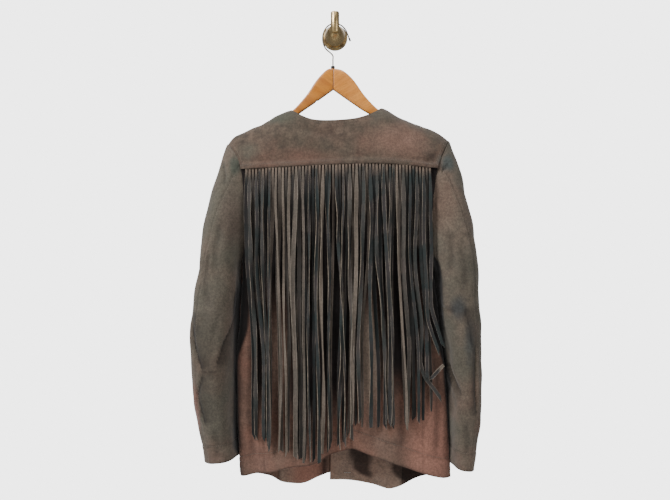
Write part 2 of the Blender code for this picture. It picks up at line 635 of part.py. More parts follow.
def build_fringe(collection):
    """Strip under the yoke's edge with the strands cut from it, as one leather piece."""
    rng = np.random.RandomState(FRINGE_SEED)
    pitch = (FRINGE_RIGHT - FRINGE_LEFT) / STRANDS
    half = 0.5 * STRAND_WIDTH
    bm = bmesh.new()

    def strip_spot(x, share):
        z = YOKE_SEAM.at("z", x) + LAP - 2.0 * SEAM - (FRINGE_STRIP - 2.0 * SEAM) * share
        return Vector((x, off_back(x, z, FRINGE_OUT), z))

    left_top = bm.verts.new(strip_spot(FRINGE_LEFT, 0.0))
    left_low = bm.verts.new(strip_spot(FRINGE_LEFT, 1.0))
    for number in range(STRANDS):
        root_x, line = strand_line(number, rng)
        marks = (root_x - half, root_x + half)
        tops = [bm.verts.new(strip_spot(x, 0.0)) for x in marks]
        lows = [bm.verts.new(strip_spot(x, 1.0)) for x in marks]
        bm.faces.new((left_top, left_low, lows[0], tops[0]))
        bm.faces.new((tops[0], lows[0], lows[1], tops[1]))
        left_top, left_low = tops[1], lows[1]
        a, b = lows
        for centre, turn in line:
            side = Vector((math.cos(turn), math.sin(turn), 0.0)) * half
            c, d = bm.verts.new(centre - side), bm.verts.new(centre + side)
            bm.faces.new((a, c, d, b))
            a, b = c, d
    end_x = FRINGE_RIGHT
    end_top = bm.verts.new(strip_spot(end_x, 0.0))
    end_low = bm.verts.new(strip_spot(end_x, 1.0))
    bm.faces.new((left_top, left_low, end_low, end_top))
    mesh = bpy.data.meshes.new("fringe")
    bm.to_mesh(mesh)
    bm.free()
    obj = place("fringe", mesh, SUEDE_FRINGE, collection)
    solid = obj.modifiers.new("leather", "SOLIDIFY")
    solid.thickness = FRINGE_CLOTH
    solid.offset = 0.0
    solid.use_rim = True
    return obj


# Hook and hanger
def turned_mesh(name, profile, turn):
    """Mesh of a turned part: profile rows are (height, radius), then it is turned over."""
    raw = bpy.data.meshes.new(name + "_profile")
    raw.from_pydata([(r, 0.0, h) for h, r in profile],
                    [(i, i + 1) for i in range(len(profile) - 1)], [])
    temp = bpy.data.objects.new(name + "_profile", raw)
    bpy.context.scene.collection.objects.link(temp)
    screw = temp.modifiers.new("turn", "SCREW")
    screw.steps = TURNED_STEPS
    screw.render_steps = TURNED_STEPS
    screw.use_merge_vertices = True
    screw.merge_threshold = 0.0001
    bpy.context.view_layer.update()
    depsgraph = bpy.context.evaluated_depsgraph_get()
    mesh = bpy.data.meshes.new_from_object(temp.evaluated_get(depsgraph))
    bpy.data.objects.remove(temp, do_unlink=True)
    mesh.name = name
    mesh.transform(turn)
    bm = bmesh.new()
    bm.from_mesh(mesh)
    bmesh.ops.remove_doubles(bm, verts=bm.verts, dist=0.00001)
    bmesh.ops.recalc_face_normals(bm, faces=bm.faces)
    bm.to_mesh(mesh)
    bm.free()
    return mesh


def shade_round(obj, angle=35.0):
    """Smooth shading that keeps the sharp rims."""
    for face in obj.data.polygons:
        face.use_smooth = True
    obj.data.set_sharp_from_angle(angle=math.radians(angle))


def build_hook(collection):
    """Round wall plate and the arm with its upright peg."""
    out_of_wall = Matrix.Rotation(math.radians(90.0), 4, "X")
    plate = place("hook_plate", turned_mesh("hook_plate", PLATE, out_of_wall), BRASS, collection)
    shade_round(plate)
    raise_stem = Matrix.Translation((0.0, 0.0, STEM_Z))
    stem = place("hook_arm", turned_mesh("hook_arm", tuple(reversed(STEM)), raise_stem @ out_of_wall),
                 BRASS, collection)
    upright = Matrix.Translation((0.0, PEG_Y, 0.0))
    peg = place("hook_arm_peg", turned_mesh("hook_arm_peg", PEG, upright), BRASS, collection)
    join = stem.modifiers.new("join", "BOOLEAN")
    join.operation = "UNION"
    join.solver = "EXACT"
    join.object = peg
    bpy.context.view_layer.update()
    depsgraph = bpy.context.evaluated_depsgraph_get()
    joined = bpy.data.meshes.new_from_object(stem.evaluated_get(depsgraph))
    stem.modifiers.clear()
    old = stem.data
    stem.data = joined
    bpy.data.meshes.remove(old)
    bpy.data.objects.remove(peg, do_unlink=True)
    shade_round(stem)


def wire_mesh(name, points, radius):
    """Round wire through the points, closed at both ends."""
    curve = bpy.data.curves.new(name, "CURVE")
    curve.dimensions = "3D"
    curve.bevel_depth = radius
    curve.bevel_resolution = 2
    curve.resolution_u = 3
    curve.use_fill_caps = True
    line = curve.splines.new("BEZIER")
    line.bezier_points.add(len(points) - 1)
    for mark, co in zip(line.bezier_points, points):
        mark.co = co
        mark.handle_left_type = mark.handle_right_type = "AUTO"
    temp = bpy.data.objects.new(name, curve)
    bpy.context.scene.collection.objects.link(temp)
    bpy.context.view_layer.update()
    depsgraph = bpy.context.evaluated_depsgraph_get()
    mesh = bpy.data.meshes.new_from_object(temp.evaluated_get(depsgraph))
    bpy.data.objects.remove(temp, do_unlink=True)
    bm = bmesh.new()
    bm.from_mesh(mesh)
    bmesh.ops.remove_doubles(bm, verts=bm.verts, dist=0.00001)
    bmesh.ops.recalc_face_normals(bm, faces=bm.faces)
    bm.to_mesh(mesh)
    bm.free()
    return mesh


def build_hanger(collection):
    """Two wooden halves, the collar, the bent wire and its black tip."""
    for hand, sign, table, finish in (("left", -1.0, HANGER_LEFT, WOOD_DARK),
                                      ("right", 1.0, HANGER_RIGHT, WOOD_PALE)):
        span = float(table.rows[-1, 0])
        points = []
        for row in range(3):
            share = row / 2.0
            line = []
            for k in range(HANGER_STEPS + 1):
                d = span * k / HANGER_STEPS
                top, low = table.at("top", d), table.at("bottom", d)
                x = HANGER_X + sign * (d + 0.5 * SEAM)
                line.append(Vector((x, WIRE_Y, top + (low - top) * share)))
            points.append(line)
        obj = sheet("hanger_" + hand, points, HANGER_DEPTH, finish, collection)
        round_off = obj.modifiers.new("rounded", "BEVEL")
        round_off.width = HANGER_ROUND
        round_off.segments = 2
        round_off.limit_method = "ANGLE"
        round_off.angle_limit = math.radians(50.0)
    collar = turned_mesh("hanger_collar", ((COLLAR_TOP, 0.0), (COLLAR_TOP, 0.0030),
                                           (COLLAR_TOP - 0.0010, COLLAR_RADIUS),
                                           (COLLAR_BOTTOM, COLLAR_RADIUS),
                                           (COLLAR_BOTTOM, 0.0)),
                         Matrix.Translation((WIRE[0][0], WIRE_Y, 0.0)))
    shade_round(place("hanger_collar", collar, BLACK, collection))
    line = [Vector((x, WIRE_Y, z)) for x, z in WIRE]
    shade_round(place("hanger_wire", wire_mesh("hanger_wire", line, WIRE_RADIUS), STEEL,
                      collection), 50.0)
    way = (line[-1] - line[-2]).normalized()
    tip = [line[-1] + way * (SEAM + TIP_LENGTH * k / 2.0) for k in range(3)]
    shade_round(place("wire_tip", wire_mesh("wire_tip", tip, TIP_RADIUS), BLACK, collection),
                50.0)


def main():
    clear_scene()
    jacket = bpy.data.collections.new("fringe_jacket")
    bpy.context.scene.collection.children.link(jacket)
    build_hook(jacket)
    build_hanger(jacket)
    build_yoke(jacket)
    build_backs(jacket)
    build_fronts(jacket)
    build_sleeves(jacket)
    build_fringe(jacket)


main()
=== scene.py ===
"""Fringed suede jacket hung with its back outwards on a wooden hanger and a brass wall hook.

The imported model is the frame: metres, +Z up, the wall is the plane y = 0 and the room
lies towards -Y. Left and right are as seen by somebody who looks at the jacket's back.
"""
import logging
import math
from collections.abc import Callable, Sequence
from dataclasses import dataclass, field
from enum import Enum
from functools import cache, partial
from typing import Any

import bmesh
import bpy
import numpy as np
from bmesh.types import BMesh
from bpy.types import Material, Mesh, Node, NodeSocket, NodeTree, Object
from mathutils import Matrix, Vector


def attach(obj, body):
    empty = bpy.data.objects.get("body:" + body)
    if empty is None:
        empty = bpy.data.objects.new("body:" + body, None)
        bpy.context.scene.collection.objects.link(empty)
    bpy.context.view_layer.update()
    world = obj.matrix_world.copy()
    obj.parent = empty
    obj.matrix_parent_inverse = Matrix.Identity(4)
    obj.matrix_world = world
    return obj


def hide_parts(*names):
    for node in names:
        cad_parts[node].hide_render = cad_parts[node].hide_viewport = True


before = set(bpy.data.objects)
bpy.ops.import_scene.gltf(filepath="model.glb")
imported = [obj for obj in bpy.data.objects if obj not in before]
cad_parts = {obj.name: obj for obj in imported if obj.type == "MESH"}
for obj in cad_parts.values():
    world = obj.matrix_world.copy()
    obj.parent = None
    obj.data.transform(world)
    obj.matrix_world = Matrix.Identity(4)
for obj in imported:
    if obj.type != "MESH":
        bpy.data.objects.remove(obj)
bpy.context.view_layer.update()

ROOT = "root"

Colour = tuple[float, float, float]
Array = np.ndarray
Edge = Callable[[Array], Array]
log = logging.getLogger("fringe_jacket")


# Named options
class Side(Enum):
    """Named side with its sign along an axis."""

    @property
    def word(self) -> str:
        """Name of the side as the nodes and tables spell it."""
        return self.name.lower()


class Hand(Side):
    """Side of the jacket, along X."""

    LEFT = -1.0
    RIGHT = 1.0


class Face(Side):
    """Side of the body that a panel belongs to, outwards along Y."""

    BACK = -1.0
    FRONT = 1.0


class EdgeKind(Enum):
    """What is sewn along one edge of a panel."""

    SEAM = "seam"
    HEM = "hem"
    PLAIN = "plain"


# Tables of the form
class Table:
    """Rows of numbers under named columns, read smoothly along the first column."""

    def __init__(self, names: str, *rows: tuple[float, ...]) -> None:
        """Sorts the rows by their first number.

        Args:
            names: column names with spaces between them.
            rows: one tuple for each row.
        """
        self.names = names.split()
        self.rows = np.array(sorted(rows), dtype=float)

    def at(self, name: str, key: Array | float) -> Array:
        """Values of one column, cubic between rows and flat beyond them.

        Args:
            name: column to read.
            key: places along the first column.

        Returns:
            One value for each place.
        """
        keys, vals = self.rows[:, 0], self.rows[:, self.names.index(name)]
        slopes = np.empty_like(vals)
        slopes[0] = (vals[1] - vals[0]) / (keys[1] - keys[0])
        slopes[-1] = (vals[-1] - vals[-2]) / (keys[-1] - keys[-2])
        slopes[1:-1] = (vals[2:] - vals[:-2]) / (keys[2:] - keys[:-2])
        place = np.clip(np.asarray(key, dtype=float), keys[0], keys[-1])
        i = np.clip(np.searchsorted(keys, place) - 1, 0, len(keys) - 2)
        step = keys[i + 1] - keys[i]
        return hermite((place - keys[i]) / step, vals[i], vals[i + 1],
                       slopes[i] * step, slopes[i + 1] * step)


def hermite(t: Array, a: Array, b: Array, start: Array, end: Array) -> Array:
    """Cubic from a to b with a slope at each end.

    Args:
        t: share of the way from 0 to 1.
        a, b: values at the two ends.
        start, end: slopes at the two ends.

    Returns:
        The values at t.
    """
    return ((2 * t**3 - 3 * t**2 + 1) * a + (t**3 - 2 * t**2 + t) * start
            + (-2 * t**3 + 3 * t**2) * b + (t**3 - t**2) * end)


def smooth(t: Array | float) -> Array:
    """Soft step from 0 to 1."""
    t = np.clip(t, 0.0, 1.0)
    return t * t * (3.0 - 2.0 * t)


def bell(t: Array | float) -> Array:
    """Rounded bump of height 1 about 0."""
    return np.exp(-np.square(t))


def signed_power(value: Array, power: float) -> Array:
    """Power of the size of a number, with its sign kept."""
    return np.copysign(np.abs(value) ** power, value)


def spread(*stops: tuple[float, int]) -> Array:
    """Rows or columns between stops, given as (stop, number of steps up to it)."""
    out = [stops[0][0]]
    for (a, _), (b, n) in zip(stops[:-1], stops[1:]):
        out += [a + (b - a) * (i + 1) / n for i in range(n)]
    return np.array(out)


def line_reach(line: Array) -> Array:
    """Distance along a line of points from its start to each of them."""
    return np.concatenate(([0.0], np.cumsum(np.linalg.norm(np.diff(line, axis=0), axis=1))))


def on_line(place: float, reach: Array, line: Array) -> list[float]:
    """Values of a line at one distance along it."""
    return [float(np.interp(place, reach, line[:, i])) for i in range(3)]


# Body by height: outermost x on each side and the y of side seam, back and fronts.
BODY = Table(
    "z left right side back front",
    (-0.2, -0.255, 0.265, -0.044, -0.079, -0.015),
    (-0.27, -0.232, 0.245, -0.0445, -0.082, -0.0145),
    (-0.33, -0.216, 0.227, -0.045, -0.0845, -0.014),
    (-0.38, -0.203, 0.213, -0.0455, -0.086, -0.0135),
    (-0.42, -0.1925, 0.201, -0.0455, -0.0865, -0.013),
    (-0.46, -0.1845, 0.1925, -0.0455, -0.087, -0.013),
    (-0.5, -0.1855, 0.1975, -0.046, -0.0875, -0.013),
    (-0.56, -0.189, 0.204, -0.0465, -0.088, -0.013),
    (-0.654, -0.195, 0.215, -0.047, -0.088, -0.013),
    (-0.741, -0.194, 0.2225, -0.0475, -0.087, -0.013),
    (-0.8, -0.192, 0.2255, -0.048, -0.086, -0.013),
    (-0.86, -0.188, 0.227, -0.0485, -0.085, -0.013),
    (-0.93, -0.182, 0.2275, -0.049, -0.084, -0.013))

# Armhole edges of the back and the fronts, from the shoulder point to the underarm.
ARMHOLE_LEFT = Table(
    "z x", (-0.2225, -0.2134), (-0.2427, -0.1975), (-0.261, -0.1885), (-0.278, -0.1835),
    (-0.3, -0.18), (-0.373, -0.1785), (-0.44, -0.18), (-0.46, -0.1845))
ARMHOLE_RIGHT = Table(
    "z x", (-0.2165, 0.226), (-0.24, 0.2135), (-0.261, 0.2045), (-0.278, 0.1995), (-0.3, 0.196),
    (-0.373, 0.1895), (-0.44, 0.1875), (-0.46, 0.1925))

# Shoulder ridge; between the neck points it is only a guide for the neck's shape.
RIDGE = Table(
    "x z", (-0.2134, -0.2225), (-0.1991, -0.2075), (-0.176, -0.1975), (-0.1439, -0.184),
    (-0.1188, -0.1685), (-0.0886, -0.1545), (0.0, -0.137), (0.0936, -0.1523), (0.1294, -0.1702),
    (0.1672, -0.1856), (0.2056, -0.201), (0.226, -0.2165))
NECKLINE = Table(
    "x z", (-0.0886, -0.1545), (-0.0684, -0.1692), (-0.0415, -0.1783), (0.0, -0.1795),
    (0.0413, -0.1756), (0.0682, -0.1666), (0.0936, -0.1523))
YOKE_SEAM = Table(
    "x z", (-0.185, -0.2771), (-0.09, -0.2725), (0.0, -0.268), (0.1, -0.2667), (0.2, -0.2753))

# Hems, and the upright seams of the back.
BACK_HEM = Table(
    "x z", (-0.196, -0.88), (-0.182, -0.879), (-0.1581, -0.8722), (-0.1268, -0.8677),
    (-0.0903, -0.8565), (-0.046, -0.849), (-0.0072, -0.8299), (0.0133, -0.8243), (0.0329, -0.819),
    (0.0445, -0.8222), (0.0692, -0.8328), (0.1165, -0.8484), (0.162, -0.8664), (0.2093, -0.8811),
    (0.23, -0.882))
FRONT_HEM = Table(
    "x z", (-0.196, -0.88), (-0.17, -0.884), (-0.1323, -0.8914), (-0.1089, -0.9041),
    (-0.0777, -0.9079), (-0.0563, -0.9059), (-0.0328, -0.896), (-0.0133, -0.888))
FRONT_HEM_RIGHT = Table(
    "x z", (-0.0133, -0.9025), (0.0414, -0.9041), (0.0764, -0.9108), (0.0999, -0.919),
    (0.1131, -0.9208), (0.1354, -0.9139), (0.1708, -0.893), (0.205, -0.885), (0.23, -0.882))
CENTRE_SEAM = Table("z x", (-0.26, 0.003), (-0.45, 0.008), (-0.82, 0.0329))
SIDE_SEAM = Table(
    "z left right", (-0.372, -0.176, 0.187), (-0.42, -0.164, 0.176), (-0.5, -0.152, 0.168),
    (-0.65, -0.142, 0.168), (-0.8, -0.1376, 0.1708), (-0.88, -0.1368, 0.1714))
FRONT_EDGE = Table("z x", (-0.15, 0.002), (-0.33, 0.001), (-0.6, -0.006), (-0.92, -0.0128))

# Sleeve rings by their outer height; the inner side of a ring is lower by its tilt.
SLEEVE_LEFT = Table(
    "z outer inner back front tilt",
    (-0.4703, -0.2665, -0.1925, -0.105, -0.0125, 0.036),
    (-0.5208, -0.2742, -0.196, -0.1075, -0.012, 0.014),
    (-0.5768, -0.2797, -0.201, -0.1095, -0.012, 0.004),
    (-0.6143, -0.2807, -0.2025, -0.11, -0.0125, 0.0),
    (-0.6596, -0.278, -0.203, -0.109, -0.013, 0.0),
    (-0.7365, -0.2756, -0.2025, -0.106, -0.015, 0.0),
    (-0.7681, -0.2702, -0.2018, -0.104, -0.016, 0.0),
    (-0.8095, -0.262, -0.2003, -0.101, -0.017, 0.0),
    (-0.847, -0.2545, -0.1985, -0.0985, -0.018, -0.006))
SLEEVE_RIGHT = Table(
    "z outer inner back front tilt",
    (-0.47, 0.279, 0.205, -0.105, -0.0125, 0.036),
    (-0.5208, 0.2812, 0.2085, -0.1075, -0.012, 0.014),
    (-0.5551, 0.2826, 0.2115, -0.109, -0.012, 0.004),
    (-0.6044, 0.2842, 0.218, -0.11, -0.0125, 0.0),
    (-0.6419, 0.2855, 0.224, -0.1095, -0.013, 0.0),
    (-0.701, 0.2864, 0.229, -0.1075, -0.014, 0.0),
    (-0.7622, 0.2836, 0.2305, -0.105, -0.0155, 0.0),
    (-0.8026, 0.2776, 0.231, -0.102, -0.0165, 0.0),
    (-0.843, 0.2736, 0.2312, -0.0995, -0.0175, -0.002),
    (-0.861, 0.272, 0.2312, -0.0985, -0.018, -0.006))

# How the sleeve leaves the armhole, by the angle round it (0 top, 90 back, 180 underarm):
# its first direction outwards, along y and downwards, its pull into the first ring, and
# how far its edge stands off the armhole sideways and upwards.
SLEEVE_HEAD = Table(
    "angle out along down pull gap lift",
    (0.0, 0.05, 0.0, 0.11, 0.23, 0.0014, -0.0014),
    (45.0, 0.06, -0.03, 0.09, 0.2, 0.0018, -0.0008),
    (90.0, 0.07, -0.04, 0.06, 0.15, 0.0013, 0.0),
    (135.0, 0.04, -0.02, 0.04, 0.08, 0.0014, 0.0002),
    (180.0, 0.016, 0.0, 0.02, 0.04, 0.0019, 0.0008),
    (225.0, 0.04, 0.01, 0.04, 0.08, 0.0014, 0.0002),
    (270.0, 0.07, 0.02, 0.06, 0.15, 0.0016, 0.0),
    (315.0, 0.06, 0.015, 0.09, 0.2, 0.0028, -0.0012),
    (337.0, 0.055, 0.008, 0.1, 0.215, 0.003, -0.0018),
    (360.0, 0.05, 0.0, 0.11, 0.23, 0.0014, -0.0014))

# Lower ends of the strands.
FRINGE_TIPS = Table(
    "x z", (-0.1755, -0.8), (-0.1615, -0.805), (-0.1346, -0.815), (-0.1, -0.827), (-0.0423, -0.84),
    (-0.0077, -0.819), (0.025, -0.808), (0.0454, -0.775), (0.0769, -0.773), (0.1269, -0.776),
    (0.15, -0.764), (0.1875, -0.747))
# The two places where the strands part, each with how strongly.
PARTINGS = ((-0.1096, 0.9), (0.067, 1.25))
PARTING_WIDTH = 0.022
# Three strands at the right that stray outwards: number from the right end, then x by height.
STRAYS = {
    1: Table("z x", (-0.52, 0.18), (-0.5473, 0.1812), (-0.5898, 0.194), (-0.6246, 0.2055)),
    3: Table("z x", (-0.55, 0.176), (-0.575, 0.1785), (-0.61, 0.1895), (-0.638, 0.2)),
    5: Table("z x", (-0.65, 0.17), (-0.678, 0.1785), (-0.7073, 0.201), (-0.727, 0.215)),
}

# Brass stem round its axis: distance from the wall and radius.
STEM = (
    (0.0053, 0.0), (0.0053, 0.0222), (0.015, 0.0206), (0.0316, 0.0158), (0.04, 0.0118),
    (0.046, 0.0075), (0.046, 0.0))
# Peg round its axis: height and radius, from the top down.
PEG = (
    (0.0402, 0.0), (0.0402, 0.0066), (0.0396, 0.0079), (0.0382, 0.0085), (0.0, 0.0085),
    (-0.0016, 0.0076), (-0.0022, 0.006), (-0.0022, 0.0))
# Wall plate in the same way as the stem.
PLATE = (
    (0.005, 0.0), (0.005, 0.0238), (0.0046, 0.025), (0.0036, 0.0256), (0.0, 0.0256), (0.0, 0.0))
# Middle line of the hook wire: x and z, from the collar to the tip.
WIRE = (
    (-0.0042, -0.0649), (-0.0042, -0.053), (-0.0046, -0.044), (-0.0105, -0.0375),
    (-0.0182, -0.0306), (-0.0234, -0.02), (-0.0247, -0.007), (-0.0208, 0.0072), (-0.0118, 0.017),
    (0.0, 0.0204), (0.0118, 0.017), (0.0208, 0.0082), (0.0255, -0.0015), (0.0283, -0.0088))
TIP_LENGTH = 0.0062
TURNED_SHARP = 32.0  # angle from which an edge of a turned piece stays sharp
# Hanger by distance from its joint: upper and lower edge of each half.
HANGER_LEFT = Table(
    "x top bottom", (0.0, -0.0699, -0.1133), (0.013, -0.0728, -0.1226), (0.0335, -0.0938, -0.1372),
    (0.0545, -0.1248, -0.1514), (0.0814, -0.1545, -0.17), (0.095, -0.1625, -0.1775),
    (0.115, -0.1728, -0.189), (0.14, -0.1872, -0.207), (0.172, -0.201, -0.22),
    (0.19, -0.211, -0.227), (0.2, -0.2195, -0.23))
HANGER_RIGHT = Table(
    "x top bottom", (0.0, -0.0699, -0.1133), (0.0195, -0.0746, -0.1272), (0.0409, -0.0938, -0.142),
    (0.0619, -0.1234, -0.156), (0.0886, -0.1515, -0.17), (0.105, -0.16, -0.178),
    (0.133, -0.1735, -0.19), (0.17, -0.1892, -0.207), (0.2, -0.2015, -0.219),
    (0.209, -0.208, -0.224), (0.215, -0.215, -0.227))


# Driving sizes of the cloth, in metres
CLOTH = 0.0015  # thickness of the suede
SEAM = 0.0003  # gap between two pieces that are sewn together
SLEEVE_SEAM = 0.2  # half of that gap along a sleeve, in degrees round it
UNDERARM_Z = -0.46  # bottom of the armholes
SIDE_TOP = -0.372  # top of the side panels, on the armhole
V_BOTTOM = -0.33  # lowest point of the front neckline
OPEN_GAP = 0.0036  # slot between the two fronts
LAP = 0.0045  # how far the yoke lies over the fringe
LAP_RISE = 0.008  # length over which the yoke steps outwards
LAP_OUT = 0.004  # how far it steps out
HEM_STITCH = 0.0385  # distance of the stitches from a hem
EDGE_STITCH = 0.0085  # from a front's edge
SEAM_STITCH = 0.005  # from a sleeve's seam
SPOT_STEPS = 14  # repeats that settle a point between its panel's edges
BEHIND = -0.0316  # depth of the shoulder ridge, over the middle of the hanger


# The body that the panels lie on
@dataclass(frozen=True)
class BodyForm:
    """Outer form of the hung body, the same as that of the solids."""

    roundness: float = 2.5  # power of the cross-section, 2 is an ellipse
    back_roof: float = 0.075  # drop over which the back leaves the shoulder ridge
    neck_roof: float = 0.1  # what is added to that drop at the middle of the neck
    neck_spread: float = 0.06  # half-width over which that addition fades
    front_roof: float = 0.018  # drop over which the fronts leave the ridge
    seam: float = 0.0003  # how far back and fronts each stay off the middle
    fold_top: float = -0.48  # where the soft folds of the skirt begin
    fold_full: float = -0.84  # where they are deepest
    slope_step: float = 0.002  # step for measuring how the cloth slopes
    slope_most: float = 2.5  # limit on what the slope adds to a standoff

    def extent(self, z: Array) -> tuple[Array, Array]:
        """Middle and half-width of the body at each height."""
        left, right = BODY.at("left", z), BODY.at("right", z)
        return 0.5 * (left + right), 0.5 * (right - left)

    def turn_of(self, x: Array, z: Array) -> Array:
        """Angle round the half section for each sideways place."""
        mid, half = self.extent(z)
        t = np.clip((x - mid) / half, -1.0, 1.0)
        return np.copysign(np.arcsin(np.abs(t) ** (self.roundness / 2.0)), t)

    def x_of(self, turn: Array, z: Array) -> Array:
        """Sideways place for each angle round the half section."""
        mid, half = self.extent(z)
        return mid + half * signed_power(np.sin(turn), 2.0 / self.roundness)

    def folds(self, x: Array, z: Array, face: Face) -> Array:
        """Depth of the soft upright folds of the skirt."""
        deep = smooth((self.fold_top - z) / (self.fold_top - self.fold_full))
        if face is Face.BACK:
            wave = 0.003 * np.sin(38.0 * x + 0.6) + 0.0018 * np.sin(83.0 * x + 1.7)
        else:
            wave = 0.0022 * np.sin(44.0 * x + 2.1) + 0.0012 * np.sin(97.0 * x)
        return deep * wave

    def depth(self, x: Array, z: Array, face: Face) -> Array:
        """Depth of the cloth at places on the back or the fronts.

        Args:
            x, z: places as seen from behind.
            face: side of the body.

        Returns:
            The y of the cloth's middle at each place.
        """
        g = np.abs(np.cos(self.turn_of(x, z))) ** (2.0 / self.roundness)
        side = BODY.at("side", z)
        flat = (side + (BODY.at(face.word, z) - side) * g
                + self.folds(x, z, face) * np.minimum(1.0, 1.5 * g))
        roof = (self.back_roof + self.neck_roof * bell(x / self.neck_spread)
                if face is Face.BACK else self.front_roof)
        drop = np.clip((RIDGE.at("z", x) - z) / roof, 0.0, 1.0)
        lean = np.sqrt(np.maximum(0.0, 1.0 - (1.0 - drop) ** 2))
        start = BEHIND + face.value * self.seam
        return start + (flat + face.value * self.seam - start) * lean

    def off_back(self, x: Array, z: Array, off: Array) -> Array:
        """Depth of points held off the back by a distance square to the cloth."""
        d = self.slope_step
        here = self.depth(x, z, Face.BACK)
        along_x = (self.depth(x + d, z, Face.BACK) - self.depth(x - d, z, Face.BACK)) / (2 * d)
        along_z = (self.depth(x, z + d, Face.BACK) - self.depth(x, z - d, Face.BACK)) / (2 * d)
        return here - off * np.minimum(np.sqrt(1.0 + along_x**2 + along_z**2), self.slope_most)


def armhole_x(z: Array, hand: Hand) -> Array:
    """Edge of the body at each height: the armhole, and below it the side seam."""
    hole = (ARMHOLE_LEFT if hand is Hand.LEFT else ARMHOLE_RIGHT).at("x", z)
    return np.where(z < UNDERARM_Z, BODY.at(hand.word, z), hole)


def side_seam_x(z: Array, hand: Hand) -> Array:
    """Edge between a back panel and its side panel; above that the armhole."""
    return np.where(z > SIDE_TOP, armhole_x(z, hand), SIDE_SEAM.at(hand.word, z))


def yoke_top(x: Array) -> Array:
    """Upper edge of the yoke: ridge, neckline, ridge."""
    ends = NECKLINE.rows[:, 0]
    inside = (x > ends[0]) & (x < ends[-1])
    return np.where(inside, NECKLINE.at("z", x), RIDGE.at("z", x))


@dataclass(frozen=True)
class Cut:
    """Edges of one body panel: inner and outer by height, top and bottom by x."""

    face: Face
    inner: Edge
    outer: Edge
    top: Edge
    bottom: Edge

    def lay(self, form: BodyForm, across: Array, down: Array, extra: float = 0.0) -> Array:
        """Lays the panel on the body.

        The edges depend on each other, so the places are found by repeated steps.

        Args:
            form: the body.
            across, down: shares of the panel's width and height.
            extra: metres added to every height.

        Returns:
            Points as an array of rows, columns and coordinates.
        """
        u, v = np.meshgrid(across, down)
        z = np.full_like(u, UNDERARM_Z)
        x = np.zeros_like(u)
        for _ in range(SPOT_STEPS):
            turn = (1.0 - u) * form.turn_of(self.inner(z), z) + u * form.turn_of(self.outer(z), z)
            x = form.x_of(turn, z)
            high, low = self.top(x), self.bottom(x)
            z = high + (low - high) * v + extra
        return np.stack((x, form.depth(x, z, self.face), z), axis=-1)


# Relief: how the cloth creases, wanders and dips along its seams
@dataclass(frozen=True)
class Crease:
    """Fold line in the cloth through places (x, z) seen from its own side."""

    places: tuple[tuple[float, float], ...]
    depth: float = 0.003
    width: float = 0.0045
    swell: float = 0.45  # height of the cloth beside it, as a share of the depth
    lean: float = 0.0  # -1 to 1, the side of the line that swells more
    face: Face = Face.BACK
    stain: float = 0.35  # painted shade at the fold's bottom: how much darker it is there
    cast: float = 0.0  # shade that the fold casts to one side of the line
    cast_reach: float = 0.01  # how far that shade reaches; under 0 for the other side
    cast_rise: float = 0.002  # length over which it sets in
    step: float = 0.0  # how far the cloth stands out on the side without the shade
    step_rise: float = 0.0024  # length over which it comes to stand out
    step_fall: float = 0.016  # and over which it falls back

    def press(self, points: Array, line: Array) -> tuple[Array, Array]:
        """Works out what the crease does to a grid of points.

        Args:
            points: grid of points on the cloth.
            line: the crease's places, set on the cloth.

        Returns:
            Height to add along the normals, and painted shade from 0 to 1.
        """
        lengths = np.linalg.norm(np.diff(line, axis=0), axis=1)
        starts = np.concatenate(([0.0], np.cumsum(lengths)))
        near = np.full(points.shape[:2], np.inf)
        aside = np.zeros(points.shape[:2])
        share = np.zeros(points.shape[:2])
        outward = np.array((0.0, self.face.value, 0.0))
        for a, b, first, length in zip(line[:-1], line[1:], starts, lengths):
            way = (b - a) / length
            along = np.clip((points - a) @ way, 0.0, length)
            gap = points - (a + along[..., None] * way)
            dist = np.linalg.norm(gap, axis=-1)
            side = gap @ np.cross(outward, way)
            closer = dist < near
            near = np.where(closer, dist, near)
            aside = np.where(closer, np.copysign(dist, side), aside)
            share = np.where(closer, (first + along) / starts[-1], share)
        fade = smooth(share / 0.22) * smooth((1.0 - share) / 0.25)
        beside = 0.5 * self.swell * self.depth * (
            (1.0 + self.lean) * bell((aside - 2.0 * self.width) / (1.5 * self.width))
            + (1.0 - self.lean) * bell((aside + 2.0 * self.width) / (1.5 * self.width)))
        height = fade * (beside - self.depth * bell(near / self.width))
        aside *= math.copysign(1.0, self.cast_reach)
        height += self.step * fade * (
            smooth((self.step_rise / 3.0 - aside) / self.step_rise)
            * np.exp(-np.maximum(-aside, 0.0) / self.step_fall))
        cast = self.cast * (smooth(aside / self.cast_rise + 0.5)
                            * np.exp(-np.maximum(aside, 0.0) / abs(self.cast_reach)))
        cast *= smooth(share / 0.1) * smooth((1.0 - share) / 0.1)
        return height, np.maximum(fade * self.stain * bell(near / (0.9 * self.width)), cast)


front_crease = partial(Crease, face=Face.FRONT)


@dataclass(frozen=True)
class Wander:
    """Low uneven waves all over the cloth, from seeded sines."""

    seed: int
    height: float = 0.0011
    shortest: float = 0.03
    longest: float = 0.09
    waves: int = 14

    def at(self, points: Array) -> Array:
        """Height of the waves at a grid of points."""
        rng = np.random.RandomState(self.seed)
        ways = rng.normal(size=(self.waves, 3)) * np.array((1.0, 1.0, 0.55))
        ways /= np.linalg.norm(ways, axis=1)[:, None]
        lengths = rng.uniform(self.shortest, self.longest, self.waves)
        phases = rng.uniform(0.0, math.tau, self.waves)
        turns = points @ (ways * (math.tau / lengths)[:, None]).T + phases
        return self.height * np.sin(turns).sum(axis=-1) / math.sqrt(self.waves)


